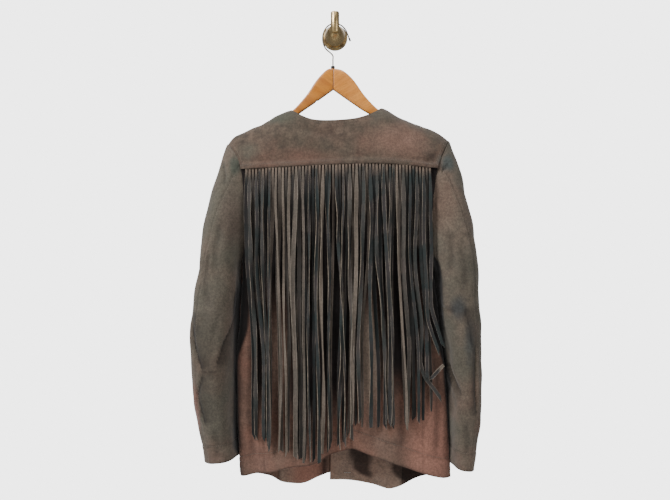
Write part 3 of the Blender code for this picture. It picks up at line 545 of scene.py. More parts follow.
@dataclass(frozen=True)
class Trim:
    """How the four edges of a panel are finished."""

    left: EdgeKind = EdgeKind.SEAM
    right: EdgeKind = EdgeKind.SEAM
    top: EdgeKind = EdgeKind.SEAM
    bottom: EdgeKind = EdgeKind.HEM
    dip: float = 0.0006  # how far the cloth is drawn in at a seam
    dip_width: float = 0.0042
    pucker: float = 0.0003  # height of the small puckers beside a seam
    pucker_pitch: float = 0.0105
    pucker_reach: float = 0.012
    hem: float = 0.038  # depth of the hem that is turned under
    hem_rise: float = 0.0006  # how much thicker the cloth is there

    def press(self, points: Array) -> tuple[Array, Array]:
        """Works out what the edges do to a grid of points.

        Args:
            points: grid of points, rows downwards and columns towards +X.

        Returns:
            Height to add along the normals, and shade from 0 to 1.
        """
        height = np.zeros(points.shape[:2])
        shade = np.zeros(points.shape[:2])
        reach = edge_distances(points)
        for word in ("left", "right", "top", "bottom"):
            kind, away = getattr(self, word), reach[word]
            run = reach["top" if word in ("left", "right") else "left"]
            if kind is EdgeKind.SEAM:
                ripple = np.sin(math.tau * run / self.pucker_pitch + 3.0 * np.sin(19.0 * run))
                height += (self.pucker * ripple * bell(away / self.pucker_reach)
                           - self.dip * bell(away / self.dip_width))
                # painted shade in the seam's dip
                shade = np.maximum(shade, 0.16 * bell(away / (0.5 * self.dip_width)))
            elif kind is EdgeKind.HEM:
                height += self.hem_rise * smooth((self.hem - away) / 0.003)
                height -= 0.0005 * bell((away - self.hem) / 0.0022)
                # painted shade in the hem's stitch groove and at its edge
                shade = np.maximum(shade, 0.35 * bell((away - self.hem) / 0.0025))
                shade = np.maximum(shade, 0.6 * bell(away / 0.003))
        return height, shade


def edge_distances(points: Array) -> dict[str, Array]:
    """Distance along the cloth from each point of a grid to the four edges.

    Args:
        points: grid of points, rows downwards and columns towards +X.

    Returns:
        One array of distances for left, right, top and bottom.
    """
    across = np.linalg.norm(np.diff(points, axis=1), axis=-1)
    down = np.linalg.norm(np.diff(points, axis=0), axis=-1)
    left = np.pad(np.cumsum(across, axis=1), ((0, 0), (1, 0)))
    top = np.pad(np.cumsum(down, axis=0), ((1, 0), (0, 0)))
    return {"left": left, "right": left[:, -1:] - left, "top": top, "bottom": top[-1:] - top}


def grid_normals(points: Array, hint: Array) -> Array:
    """Normals of a grid of points.

    Args:
        points: grid of points.
        hint: one outward direction, or one for each point, that settles the sign.

    Returns:
        One unit normal for each point.
    """
    across = np.gradient(points, axis=1)
    down = np.gradient(points, axis=0)
    normal = np.cross(across, down)
    normal /= np.maximum(np.linalg.norm(normal, axis=-1, keepdims=True), 1e-12)
    sign = 1.0 if float((normal * hint).sum()) >= 0.0 else -1.0
    return normal * sign


@dataclass
class ClothGrid:
    """Points of a piece of cloth with their normals and shade."""

    points: Array
    normals: Array
    shade: Array

    def part(self, first: int, last: int) -> "ClothGrid":
        """The columns from first up to last, as a grid of its own."""
        return ClothGrid(self.points[:, first:last], self.normals[:, first:last],
                         self.shade[:, first:last])

    def line_at(self, edge: str, away: float) -> Array:
        """Line on the cloth's outside, at a distance from one of its edges.

        Args:
            edge: left, right, top or bottom.
            away: distance from that edge along the cloth.

        Returns:
            One point for each column, or for each row beside an upright edge.
        """
        reach = edge_distances(self.points)[edge]
        lifted = self.points + self.normals * (0.5 * CLOTH)
        if edge in ("top", "bottom"):
            reach, lifted = reach.T, lifted.swapaxes(0, 1)
        if edge in ("right", "bottom"):
            reach, lifted = reach[:, ::-1], lifted[:, ::-1]
        return np.array([on_line(away, *pair) for pair in zip(reach, lifted)])


def set_on_body(creases: Sequence[Crease], form: BodyForm) -> list[tuple[Crease, Array]]:
    """Creases, each with its places as points on the body's form."""
    lines = []
    for crease in creases:
        x, z = np.array(crease.places).T
        lines.append((crease, np.stack((x, form.depth(x, z, crease.face), z), axis=-1)))
    return lines


def press_cloth(points: Array, hint: Array, lines: Sequence[tuple[Crease, Array]],
                wander: Wander | None, trim: Trim | None) -> ClothGrid:
    """Creases a grid of points along its normals.

    Args:
        points: grid of points on the smooth form.
        hint: outward direction that settles the normals' sign.
        lines: creases, each with its places set on the form.
        wander: low waves, or None.
        trim: finish of the edges, or None.

    Returns:
        The creased cloth.
    """
    normals = grid_normals(points, hint)
    height = np.zeros(points.shape[:2])
    shade = np.zeros(points.shape[:2])
    if wander is not None:
        height += wander.at(points)
    for crease, line in lines:
        lift, dark = crease.press(points, line)
        height += lift
        shade = np.maximum(shade, dark)
    if trim is not None:
        lift, dark = trim.press(points)
        height += lift
        shade = np.maximum(shade, dark)
    moved = points + normals * height[..., None]
    return ClothGrid(moved, grid_normals(moved, hint), shade)


# Mesh making
def shade_smooth(mesh: Mesh, sharp: float) -> None:
    """Shades a mesh smooth, sharp only where it turns by more than an angle in degrees."""
    mesh.polygons.foreach_set("use_smooth", np.ones(len(mesh.polygons), dtype=bool))
    mesh.set_sharp_from_angle(angle=math.radians(sharp))


def evaluated_mesh(obj: Object) -> Mesh:
    """The mesh of an object with its modifiers applied."""
    bpy.context.view_layer.update()
    depsgraph = bpy.context.evaluated_depsgraph_get()
    return bpy.data.meshes.new_from_object(obj.evaluated_get(depsgraph))


def thicken(obj: Object, wall: float, even: bool = True) -> None:
    """Gives a sheet its wall, both ways from it.

    Args:
        obj: the sheet; its second slot, if it has one, takes the rim.
        wall: thickness.
        even: whether it is kept at the bends too.
    """
    solid = obj.modifiers.new("wall", "SOLIDIFY")
    solid.thickness = wall
    solid.offset = 0.0
    solid.use_even_offset = even
    solid.use_rim = True
    solid.material_offset_rim = len(obj.data.materials) - 1
    mesh = evaluated_mesh(obj)
    obj.modifiers.clear()
    old, obj.data = obj.data, mesh
    bpy.data.meshes.remove(old)
    shade_smooth(mesh, 50.0)
    mesh.name = obj.name


def new_piece(name: str, bm: BMesh, materials: Sequence[Material]) -> Object:
    """Makes an object of a bmesh and frees the bmesh.

    Args:
        name: name of the piece.
        bm: its mesh.
        materials: its material slots in order.

    Returns:
        The new object, linked to the scene.
    """
    mesh = bpy.data.meshes.new(name)
    bm.to_mesh(mesh)
    bm.free()
    for material in materials:
        mesh.materials.append(material)
    obj = bpy.data.objects.new(name, mesh)
    bpy.context.scene.collection.objects.link(obj)
    return obj


def dress(obj: Object, slot: str, stands_in: bool = True) -> None:
    """Rides a piece on the body.

    Args:
        obj: the piece.
        slot: name of the CAD node that it goes with.
        stands_in: whether it replaces the CAD node of the same name as the slot.
    """
    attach(obj, ROOT)
    if stands_in:
        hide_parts(slot)
    log.info("%s: %d faces", obj.name, len(obj.data.polygons))


def cloth_piece(name: str, cloth: ClothGrid, material: Material, wall: float = CLOTH) -> Object:
    """Closed cloth of an even thickness, from a grid mapped onto the points.

    Args:
        name: CAD node that it replaces.
        cloth: its points, normals and shade.
        material: its finish.
        wall: thickness.

    Returns:
        The dressed piece, with its shade and its cut's UV map in metres.
    """
    rows, cols = cloth.points.shape[:2]
    bm = bmesh.new()
    bmesh.ops.create_grid(bm, x_segments=cols - 1, y_segments=rows - 1, size=1.0)
    obj = new_piece(name + "_suede", bm, (material,))
    mesh = obj.data
    flat = np.empty(len(mesh.vertices) * 3)
    mesh.vertices.foreach_get("co", flat)
    share = 0.5 * (flat.reshape(-1, 3) + 1.0)
    col = np.rint(share[:, 0] * (cols - 1)).astype(int)
    row = np.rint(share[:, 1] * (rows - 1)).astype(int)
    mesh.vertices.foreach_set("co", cloth.points[row, col].ravel())
    shade = mesh.attributes.new("shade", "FLOAT", "POINT")
    shade.data.foreach_set("value", cloth.shade[row, col].astype(np.float32))
    reach = edge_distances(cloth.points)
    corner = np.empty(len(mesh.loops), dtype=np.int32)
    mesh.loops.foreach_get("vertex_index", corner)
    cut = np.stack((reach["left"], -reach["top"]), axis=-1)[row[corner], col[corner]]
    mesh.uv_layers.new(name="cut").data.foreach_set("uv", cut.ravel().astype(np.float32))
    mesh.update()
    normal = np.array(mesh.polygons[0].normal)
    if float(normal @ cloth.normals[row[mesh.polygons[0].vertices[0]],
                                    col[mesh.polygons[0].vertices[0]]]) < 0.0:
        mesh.flip_normals()
    thicken(obj, wall)
    dress(obj, name)
    return obj


# Shader making
class Board:
    """A node tree under construction, with short calls that add and join nodes."""

    def __init__(self, tree: NodeTree) -> None:
        """Starts on an empty or new tree."""
        self.tree = tree

    def feed(self, socket: NodeSocket, value: Any) -> None:
        """Links a socket to another, or sets its constant."""
        if isinstance(value, NodeSocket):
            self.tree.links.new(value, socket)
        elif isinstance(value, tuple) and len(value) == 3 and socket.type == "RGBA":
            socket.default_value = (*value, 1.0)
        else:
            socket.default_value = value

    def fill(self, node: Node, **inputs: Any) -> None:
        """Feeds inputs by name, with _ for a space, or by place, as in_0."""
        for name, value in inputs.items():
            place = int(name[3:]) if name.startswith("in_") else name.replace("_", " ")
            self.feed(node.inputs[place], value)

    def node(self, kind: str, settings: dict[str, Any] | None = None, **inputs: Any) -> Node:
        """Adds a node.

        Args:
            kind: its type.
            settings: its own options by name.
            inputs: constants or sockets, as fill takes them.

        Returns:
            The node.
        """
        node = self.tree.nodes.new(kind)
        for name, value in (settings or {}).items():
            setattr(node, name, value)
        self.fill(node, **inputs)
        return node

    def math(self, operation: str, a: Any, b: Any = 0.0) -> NodeSocket:
        """Result of a sum on one or two numbers."""
        return self.node("ShaderNodeMath", {"operation": operation}, in_0=a, in_1=b).outputs[0]

    def times(self, a: Any, b: Any) -> NodeSocket:
        """Product of two numbers."""
        return self.math("MULTIPLY", a, b)

    def shared(self, share: float, a: Any, b: Any) -> NodeSocket:
        """Sum of two numbers, the first with its share and the second with the rest."""
        return self.math("ADD", self.times(a, share), self.times(b, 1.0 - share))

    def vector(self, operation: str, a: Any, b: Any = (0.0, 0.0, 0.0)) -> NodeSocket:
        """Result of a sum on one or two vectors."""
        node = self.node("ShaderNodeVectorMath", {"operation": operation}, in_0=a, in_1=b)
        return node.outputs["Value" if operation == "LENGTH" else "Vector"]

    def mix(self, share: Any, a: Any, b: Any, blend: str = "MIX") -> NodeSocket:
        """Colour between a and b."""
        return self.node("ShaderNodeMix", {"data_type": "RGBA", "blend_type": blend},
                         in_0=share, in_6=a, in_7=b).outputs[2]

    def ramp(self, value: Any, low: float, high: float, start: float = 0.0,
             end: float = 1.0) -> NodeSocket:
        """Soft step from start to end as a value runs from low to high."""
        return self.node("ShaderNodeMapRange", {"interpolation_type": "SMOOTHSTEP"}, Value=value,
                         From_Min=low, From_Max=high, To_Min=start, To_Max=end).outputs[0]

    def noise(self, vector: Any, scale: Any, detail: float = 2.0,
              roughness: float = 0.5) -> NodeSocket:
        """Value of a noise texture."""
        return self.node("ShaderNodeTexNoise", None, Vector=vector, Scale=scale,
                         Detail=detail, Roughness=roughness).outputs[0]


class GroupBoard(Board):
    """Board of a new node group, whose outputs are all numbers."""

    def __init__(self, name: str, inputs: dict[str, Any], outputs: Sequence[str]) -> None:
        """Makes the group with its sockets.

        Args:
            name: its name.
            inputs: default values by input name; a tuple makes a vector, a number a value.
            outputs: names of the outputs.
        """
        super().__init__(bpy.data.node_groups.new(name, "ShaderNodeTree"))
        for word, value in inputs.items():
            kind = "NodeSocketVector" if isinstance(value, tuple) else "NodeSocketFloat"
            self.tree.interface.new_socket(name=word, in_out="INPUT",
                                           socket_type=kind).default_value = value
        for word in outputs:
            self.tree.interface.new_socket(name=word, in_out="OUTPUT",
                                           socket_type="NodeSocketFloat")
        self.given = self.node("NodeGroupInput").outputs
        self.leave = self.node("NodeGroupOutput")


@cache
def hide_group() -> NodeTree:
    """Group for the look of suede: two sizes of mottling, and the nap's speckle and height."""
    board = GroupBoard("suede hide", {"Vector": (0.0, 0.0, 0.0), "Broad Scale": 13.0,
                                      "Cloud Scale": 75.0, "Nap Scale": 620.0},
                       ("Broad", "Cloud", "Nap", "Height"))
    place = board.given["Vector"]
    broad = board.noise(place, board.given["Broad Scale"], 2.0, 0.55)
    cloud = board.noise(place, board.given["Cloud Scale"], 3.0, 0.6)
    nap = board.noise(place, board.given["Nap Scale"], 3.0, 0.7)
    grain = board.noise(place, 240.0, 3.0, 0.65)
    stroke = board.noise(board.vector("MULTIPLY", place, (1.0, 1.0, 0.35)), 210.0, 2.0, 0.6)
    board.fill(board.leave, Broad=board.ramp(broad, 0.34, 0.66),
               Cloud=board.ramp(cloud, 0.22, 0.78),
               Nap=board.ramp(board.shared(0.45, nap, grain), 0.34, 0.66),
               Height=board.shared(0.55, nap, stroke))
    return board.tree


@cache
def stain_group() -> NodeTree:
    """Group for the mask of one placed, ragged stain."""
    board = GroupBoard("stain", {"Vector": (0.0, 0.0, 0.0), "Centre": (0.0, 0.0, 0.0),
                                 "Reach": (1.0, 1.0, 1.0), "Ragged": 0.012}, ("Mask",))
    place = board.given["Vector"]
    blur = board.noise(place, 55.0, 3.0, 0.6).node.outputs["Color"]
    shift = board.vector("SUBTRACT", blur, (0.5, 0.5, 0.5))
    scaled = board.node("ShaderNodeVectorMath", {"operation": "SCALE"}, in_0=shift,
                        Scale=board.given["Ragged"]).outputs[0]
    away = board.vector("SUBTRACT", board.vector("ADD", place, scaled), board.given["Centre"])
    far = board.vector("LENGTH", board.vector("DIVIDE", away, board.given["Reach"]))
    board.fill(board.leave, Mask=board.ramp(far, 0.3, 1.15, 1.0, 0.0))
    return board.tree


class Paint(Board):
    """Board of a new material, with its shader and the place that it is looked up at."""

    def __init__(self, name: str) -> None:
        """Makes the material."""
        self.material = bpy.data.materials.new(name)
        self.material.use_nodes = True
        super().__init__(self.material.node_tree)
        self.place = self.node("ShaderNodeTexCoord").outputs["Object"]

    def hide(self, place: Any, **scales: float) -> Any:
        """Outputs of the suede group at a place."""
        return self.node("ShaderNodeGroup", {"node_tree": hide_group()}, Vector=place,
                         **scales).outputs

    def layer(self, word: str) -> NodeSocket:
        """Value of one of the mesh's own attributes."""
        return self.node("ShaderNodeAttribute", {"attribute_name": word}).outputs["Fac"]

    def scale(self, colour: Any, share: Any) -> NodeSocket:
        """Colour made lighter or darker by a factor."""
        grey = self.node("ShaderNodeCombineColor", None, Red=share, Green=share, Blue=share)
        return self.mix(1.0, colour, grey.outputs[0], "MULTIPLY")

    def finish(self, colour: Any, rough: Any, height: Any, strength: float, distance: float,
               **constants: float) -> Material:
        """Joins everything to the shader.

        Args:
            colour, rough: base colour and roughness.
            height: relief of the surface.
            strength, distance: how strong and how high the relief is.
            constants: more of the shader's inputs, as fill takes them.

        Returns:
            The material.
        """
        bump = self.node("ShaderNodeBump", None, Strength=strength, Distance=distance,
                         Height=height)
        self.fill(self.tree.nodes["Principled BSDF"], Base_Color=colour, Roughness=rough,
                  Normal=bump.outputs[0], **constants)
        return self.material


# Finishes
@dataclass(frozen=True)
class Stain:
    """Patch of another colour, ragged at its edge."""

    centre: tuple[float, float, float]
    reach: tuple[float, float, float]
    colour: Colour
    strength: float = 0.6


@dataclass(frozen=True)
class Suede:
    """Suede with mottling, placed stains, a nap, and painted shade in its seams, creases and
    shadows.
    """

    name: str
    dark: Colour
    pale: Colour
    flush: Colour  # reddish tint of the broad patches
    moss: Colour  # greenish tint of the others
    flush_share: float = 0.5
    moss_share: float = 0.4
    # crease: tint at full painted shade, from the shade attribute: seams, creases and painted
    # shadows
    crease: Colour = (0.2, 0.15, 0.15)
    relief: float = 0.0009
    sheen: float = 0.12
    stains: tuple[Stain, ...] = ()

    def build(self) -> Material:
        """Makes the material, which reads Object coordinates and the shade attribute."""
        paint = Paint(self.name)
        hide = paint.hide(paint.place)
        other = paint.hide(paint.vector("ADD", paint.place, (3.1, 1.7, 5.3)),
                           Broad_Scale=9.0, Cloud_Scale=27.0)
        colour = paint.mix(hide["Cloud"], self.dark, self.pale)
        flush = paint.times(hide["Broad"], other["Cloud"])
        colour = paint.mix(paint.times(flush, self.flush_share), colour, self.flush)
        colour = paint.mix(paint.times(other["Broad"], self.moss_share), colour, self.moss)
        for stain in self.stains:
            mask = paint.node("ShaderNodeGroup", {"node_tree": stain_group()}, Vector=paint.place,
                              Centre=stain.centre, Reach=stain.reach).outputs["Mask"]
            colour = paint.mix(paint.times(mask, stain.strength), colour, stain.colour)
        colour = paint.scale(colour, paint.ramp(hide["Nap"], 0.0, 1.0, 0.8, 1.22))
        # painted shade from the shade attribute
        colour = paint.mix(paint.layer("shade"), colour, self.crease, "MULTIPLY")
        rough = paint.ramp(hide["Cloud"], 0.0, 1.0, 0.86, 0.97)
        return paint.finish(colour, rough, hide["Height"], 0.55, self.relief,
                            Sheen_Weight=self.sheen, Sheen_Roughness=0.55, Specular_IOR_Level=0.18)


@dataclass(frozen=True)
class StrandSuede:
    """Leather of the strands, with a tone of its own for each strand."""

    name: str
    dark: Colour
    plum: Colour  # patches of the dark strands
    pale: Colour
    worn: Colour
    root: Colour  # where the strands are cut from the yoke; painted paler than the yoke to lift the shadow under its edge
    pale_edge_and_highlight: Colour  # along the cut edges: paler cut leather, with a painted highlight where they catch the light
    overhang_shadow: Colour = (0.16, 0.14, 0.15)  # painted shadow tint where other strands hang over it
    sheen: float = 0.06

    def build(self) -> Material:
        """Makes the material from the tone, shade, root and edge attributes."""
        paint = Paint(self.name)
        hide = paint.hide(paint.place, Broad_Scale=22.0, Cloud_Scale=85.0)
        colour = paint.mix(hide["Broad"], self.dark, self.plum)
        colour = paint.mix(paint.layer("tone"), colour, self.pale)
        colour = paint.mix(paint.times(hide["Cloud"], 0.25), colour, self.worn)
        # root colour, painted paler to lift the shadow under the yoke's edge
        colour = paint.mix(paint.layer("root"), colour, self.root)
        # paler cut edges, broken by noise, with a painted highlight
        worn_edge_and_highlight = paint.math("ADD", paint.layer("edge"), hide["Broad"])
        colour = paint.mix(paint.ramp(worn_edge_and_highlight, 1.0, 1.6, 0.0, 0.7), colour, self.pale_edge_and_highlight)
        colour = paint.scale(colour, paint.ramp(hide["Nap"], 0.0, 1.0, 0.8, 1.2))
        # painted shadow where other strands hang over it
        colour = paint.mix(paint.layer("shade"), colour, self.overhang_shadow, "MULTIPLY")
        rough = paint.ramp(hide["Nap"], 0.0, 1.0, 0.8, 0.95)
        return paint.finish(colour, rough, hide["Height"], 0.5, 0.0007,
                            Sheen_Weight=self.sheen, Sheen_Roughness=0.5, Specular_IOR_Level=0.22)


@dataclass(frozen=True)
class Thread:
    """Waxed sewing thread with its twist."""

    name: str
    colour: Colour

    def build(self) -> Material:
        """Makes the material."""
        paint = Paint(self.name)
        twist = paint.noise(paint.place, 1400.0, 2.0, 0.6)
        dark = tuple(0.55 * c for c in self.colour)
        return paint.finish(paint.mix(twist, dark, self.colour),
                            paint.ramp(twist, 0.2, 0.8, 0.6, 0.85), twist, 0.4, 0.0003)


@dataclass(frozen=True)
class Wood:
    """Varnished wood whose grain runs along the arm of the hanger."""

    name: str
    pale: Colour
    deep: Colour
    slope: float  # fall of the arm in radians, for the grain's direction
    hollow: Colour = (0.2, 0.13, 0.1)  # tint of the joint's own dark line, and of the painted shade on the underside

    def build(self) -> Material:
        """Makes the material."""
        paint = Paint(self.name)
        turned = paint.node("ShaderNodeMapping", None, Vector=paint.place,
                            Rotation=(0.0, self.slope, 0.0)).outputs[0]
        grain = paint.noise(paint.vector("MULTIPLY", turned, (9.0, 95.0, 95.0)), 1.0, 4.0, 0.62)
        fine = paint.noise(paint.vector("MULTIPLY", turned, (40.0, 900.0, 900.0)), 1.0, 3.0, 0.7)
        cloud = paint.noise(paint.place, 24.0, 2.0, 0.5)
        colour = paint.mix(paint.ramp(grain, 0.36, 0.66), self.deep, self.pale)
        colour = paint.scale(colour, paint.ramp(fine, 0.34, 0.48, 0.72, 1.0))
        colour = paint.mix(paint.ramp(cloud, 0.45, 0.75, 0.0, 0.35), colour, self.deep)
        # painted shade on the underside, and the joint's own dark line
        colour = paint.mix(paint.layer("shade"), colour, self.hollow, "MULTIPLY")
        return paint.finish(colour, paint.ramp(cloud, 0.3, 0.7, 0.3, 0.46), fine, 0.35, 0.0003,
                            Coat_Roughness=0.22, Coat_Weight=0.15)


@dataclass(frozen=True)
class Metal:
    """Aged metal, brushed in rings or lines, with darker tarnish; brushed in rings it also gets a
    painted fan of radial highlights.
    """

    name: str
    bright: Colour
    tarnish: Colour
    roughness: float
    tarnish_share: float = 0.6
    rings: bool = False

    def build(self) -> Material:
        """Makes the material."""
        paint = Paint(self.name)
        cloud = paint.noise(paint.place, 130.0, 4.0, 0.65)
        tarnish_and_highlight = paint.ramp(cloud, 0.38, 0.62)
        if self.rings:
            radius = paint.vector("LENGTH", paint.vector("MULTIPLY", paint.place, (1.0, 0.0, 1.0)))
            brushed = paint.node("ShaderNodeCombineXYZ", None,
                                 X=paint.times(radius, 2400.0)).outputs[0]
            upright = paint.node("ShaderNodeMapping", None, Vector=paint.place,
                                 Rotation=(math.radians(90.0), 0.0, 0.0)).outputs[0]
            round_it = paint.node("ShaderNodeTexGradient", {"gradient_type": "RADIAL"},
                                  Vector=upright).outputs["Fac"]
            # painted highlight: bright and dark sectors round the axis, for the fan of reflections
            # on a brushed disc
            painted_highlight_rays = paint.noise(paint.node("ShaderNodeCombineXYZ", None, X=round_it).outputs[0],
                               9.0, 2.0, 0.6)
            tarnish_and_highlight = paint.math("MAXIMUM", paint.ramp(painted_highlight_rays, 0.4, 0.56), paint.times(tarnish_and_highlight, 0.5))
        else:
            brushed = paint.vector("MULTIPLY", paint.place, (1600.0, 1600.0, 60.0))
        colour = paint.mix(paint.times(tarnish_and_highlight, self.tarnish_share), self.bright, self.tarnish)
        rough = paint.ramp(cloud, 0.3, 0.7, self.roughness, self.roughness + 0.18)
        return paint.finish(colour, rough, paint.noise(brushed, 1.0, 2.0, 0.6), 0.25, 0.0002,
                            Metallic=1.0)


@dataclass(frozen=True)
class Plastic:
    """Dull black plastic or rubber, slightly dusty."""

    name: str
    colour: Colour = (0.018, 0.017, 0.016)
    dusty: Colour = (0.07, 0.065, 0.06)

    def build(self) -> Material:
        """Makes the material."""
        paint = Paint(self.name)
        dust = paint.noise(paint.place, 420.0, 3.0, 0.6)
        colour = paint.mix(paint.ramp(dust, 0.5, 0.8, 0.0, 0.5), self.colour, self.dusty)
        return paint.finish(colour, paint.ramp(dust, 0.3, 0.7, 0.38, 0.6), dust, 0.2, 0.0002)


# Finishes of this jacket
YOKE_SUEDE = Suede("yoke_suede", (0.036, 0.026, 0.019), (0.092, 0.066, 0.048),
                   (0.125, 0.062, 0.044), (0.038, 0.04, 0.028), stains=(
    Stain((-0.055, -0.06, -0.256), (0.085, 0.06, 0.024), (0.115, 0.058, 0.042), 0.45),
    Stain((0.118, -0.06, -0.225), (0.075, 0.05, 0.045), (0.185, 0.1, 0.074), 0.6),
    Stain((0.212, -0.05, -0.262), (0.018, 0.05, 0.018), (0.04, 0.056, 0.052), 0.75),
    Stain((-0.105, -0.04, -0.175), (0.04, 0.05, 0.02), (0.048, 0.052, 0.038), 0.65),
    Stain((-0.17, -0.05, -0.245), (0.03, 0.05, 0.025), (0.052, 0.056, 0.042), 0.55),
    Stain((0.085, -0.04, -0.17), (0.03, 0.05, 0.016), (0.052, 0.054, 0.042), 0.5)))
SKIRT_SUEDE = Suede("skirt_suede", (0.102, 0.058, 0.043), (0.148, 0.084, 0.062),
                    (0.205, 0.088, 0.06), (0.088, 0.068, 0.051), 0.6, 0.3,
                    (0.03, 0.024, 0.03), stains=(
    Stain((0.075, -0.08, -0.85), (0.07, 0.04, 0.024), (0.09, 0.062, 0.045), 0.5),
    Stain((0.068, -0.08, -0.64), (0.028, 0.05, 0.13), (0.215, 0.165, 0.128), 0.9),
    Stain((-0.11, -0.08, -0.64), (0.02, 0.05, 0.09), (0.22, 0.15, 0.115), 0.6),
    Stain((-0.15, -0.08, -0.83), (0.035, 0.05, 0.06), (0.135, 0.07, 0.052), 0.6),
    Stain((0.185, -0.06, -0.82), (0.07, 0.06, 0.12), (0.25, 0.118, 0.086), 0.75)))
SLEEVE_SUEDE = Suede("sleeve_suede", (0.066, 0.052, 0.039), (0.106, 0.084, 0.063),
                     (0.125, 0.07, 0.052), (0.058, 0.06, 0.046), 0.5, 0.55,
                     (0.05, 0.042, 0.05), stains=(
    Stain((0.236, -0.09, -0.545), (0.02, 0.06, 0.03), (0.026, 0.031, 0.034), 0.75),
    Stain((0.256, -0.09, -0.61), (0.014, 0.05, 0.06), (0.04, 0.046, 0.046), 0.65),
    Stain((0.205, -0.09, -0.35), (0.034, 0.06, 0.06), (0.11, 0.07, 0.052), 0.5),
    Stain((-0.2, -0.09, -0.37), (0.03, 0.06, 0.07), (0.095, 0.06, 0.048), 0.4),
    Stain((-0.268, -0.06, -0.74), (0.012, 0.05, 0.07), (0.15, 0.066, 0.05), 0.8),
    Stain((0.272, -0.06, -0.77), (0.014, 0.05, 0.04), (0.14, 0.07, 0.048), 0.6),
    Stain((-0.228, -0.07, -0.735), (0.03, 0.06, 0.08), (0.06, 0.058, 0.045), 0.6),
    Stain((0.222, -0.07, -0.264), (0.018, 0.06, 0.022), (0.034, 0.046, 0.045), 0.8),
    Stain((-0.268, -0.08, -0.745), (0.013, 0.06, 0.07), (0.15, 0.078, 0.06), 0.9),
    Stain((-0.235, -0.08, -0.85), (0.04, 0.06, 0.03), (0.125, 0.078, 0.06), 0.5),
    Stain((0.27, -0.08, -0.84), (0.018, 0.06, 0.045), (0.145, 0.098, 0.072), 0.6),
    Stain((-0.235, -0.07, -0.56), (0.03, 0.06, 0.08), (0.082, 0.064, 0.052), 0.6),
    Stain((-0.195, -0.07, -0.27), (0.016, 0.05, 0.024), (0.034, 0.042, 0.032), 0.75)))
FACING_SUEDE = Suede("facing_suede", (0.18, 0.12, 0.092), (0.26, 0.176, 0.137),
                     (0.26, 0.13, 0.085), (0.16, 0.13, 0.1), 0.5, 0.4,
                     (0.06, 0.04, 0.045), stains=(
    Stain((-0.05, -0.02, -0.89), (0.05, 0.06, 0.05), (0.23, 0.105, 0.075), 0.8),))
CUT_EDGE = Suede("cut_edge_suede", (0.08, 0.066, 0.05), (0.26, 0.215, 0.165),
                 (0.18, 0.12, 0.09), (0.12, 0.115, 0.09), 0.3, 0.3)
STRAND_SUEDE = StrandSuede("strand_suede", (0.014, 0.021, 0.021), (0.026, 0.021, 0.021),
                           (0.118, 0.094, 0.074), (0.04, 0.038, 0.033),
                           (0.125, 0.09, 0.068), (0.31, 0.27, 0.225))
THREAD = Thread("waxed_thread", (0.16, 0.13, 0.1))
WOOD_DARK = Wood("hanger_wood_dark", (0.47, 0.172, 0.018), (0.355, 0.116, 0.011), -0.55)
WOOD_PALE = Wood("hanger_wood_pale", (0.59, 0.235, 0.042), (0.47, 0.172, 0.026), 0.55)
PLATE_BRASS = Metal("plate_brass", (0.54, 0.4, 0.2), (0.15, 0.1, 0.055), 0.3, 0.9, True)
ARM_BRASS = Metal("arm_brass", (0.52, 0.38, 0.19), (0.3, 0.21, 0.1), 0.22, 0.4)
WIRE_STEEL = Metal("wire_steel", (0.17, 0.145, 0.115), (0.09, 0.075, 0.055), 0.4, 0.4)
DULL_BLACK = Plastic("dull_black")


@dataclass
class Finishes:
    """Materials of the jacket, each built once."""

    yoke: Material = field(default_factory=YOKE_SUEDE.build)
    skirt: Material = field(default_factory=SKIRT_SUEDE.build)
    sleeve: Material = field(default_factory=SLEEVE_SUEDE.build)
    facing: Material = field(default_factory=FACING_SUEDE.build)
    cut_edge: Material = field(default_factory=CUT_EDGE.build)
    strand: Material = field(default_factory=STRAND_SUEDE.build)
    thread: Material = field(default_factory=THREAD.build)


# Stitching
@dataclass
class Stitching:
    """Rows of thread beads that lie along lines on the cloth."""

    material: Material
    pitch: float = 0.0034  # from one stitch to the next
    length: float = 0.0025
    thick: float = 0.0008
    lines: list[Array] = field(default_factory=list)

    def along(self, line: Array) -> None:
        """Adds a row of stitches along a line of points."""
        self.lines.append(line)

    def build(self, name: str) -> Object:
        """Builds every row gathered so far as one piece, and starts afresh.

        Args:
            name: name of the piece.

        Returns:
            The piece.
        """
        bm = bmesh.new()
        for line in self.lines:
            reach = line_reach(line)
            count = max(1, int(reach[-1] / self.pitch))
            for k in range(count):
                mid = (k + 0.5) * reach[-1] / count
                ends = [Vector(on_line(s, reach, line))
                        for s in (mid - 0.5 * self.length, mid + 0.5 * self.length)]
                turn = (ends[1] - ends[0]).to_track_quat("X", "Z").to_matrix().to_4x4()
                size = Matrix.Diagonal((0.5 * self.length, 0.5 * self.thick, 0.5 * self.thick, 1.0))
                bmesh.ops.create_icosphere(
                    bm, subdivisions=1, radius=1.0,
                    matrix=Matrix.Translation((ends[0] + ends[1]) * 0.5) @ turn @ size)
        self.lines = []
        for face in bm.faces:
            face.smooth = True
        return new_piece(name, bm, (self.material,))


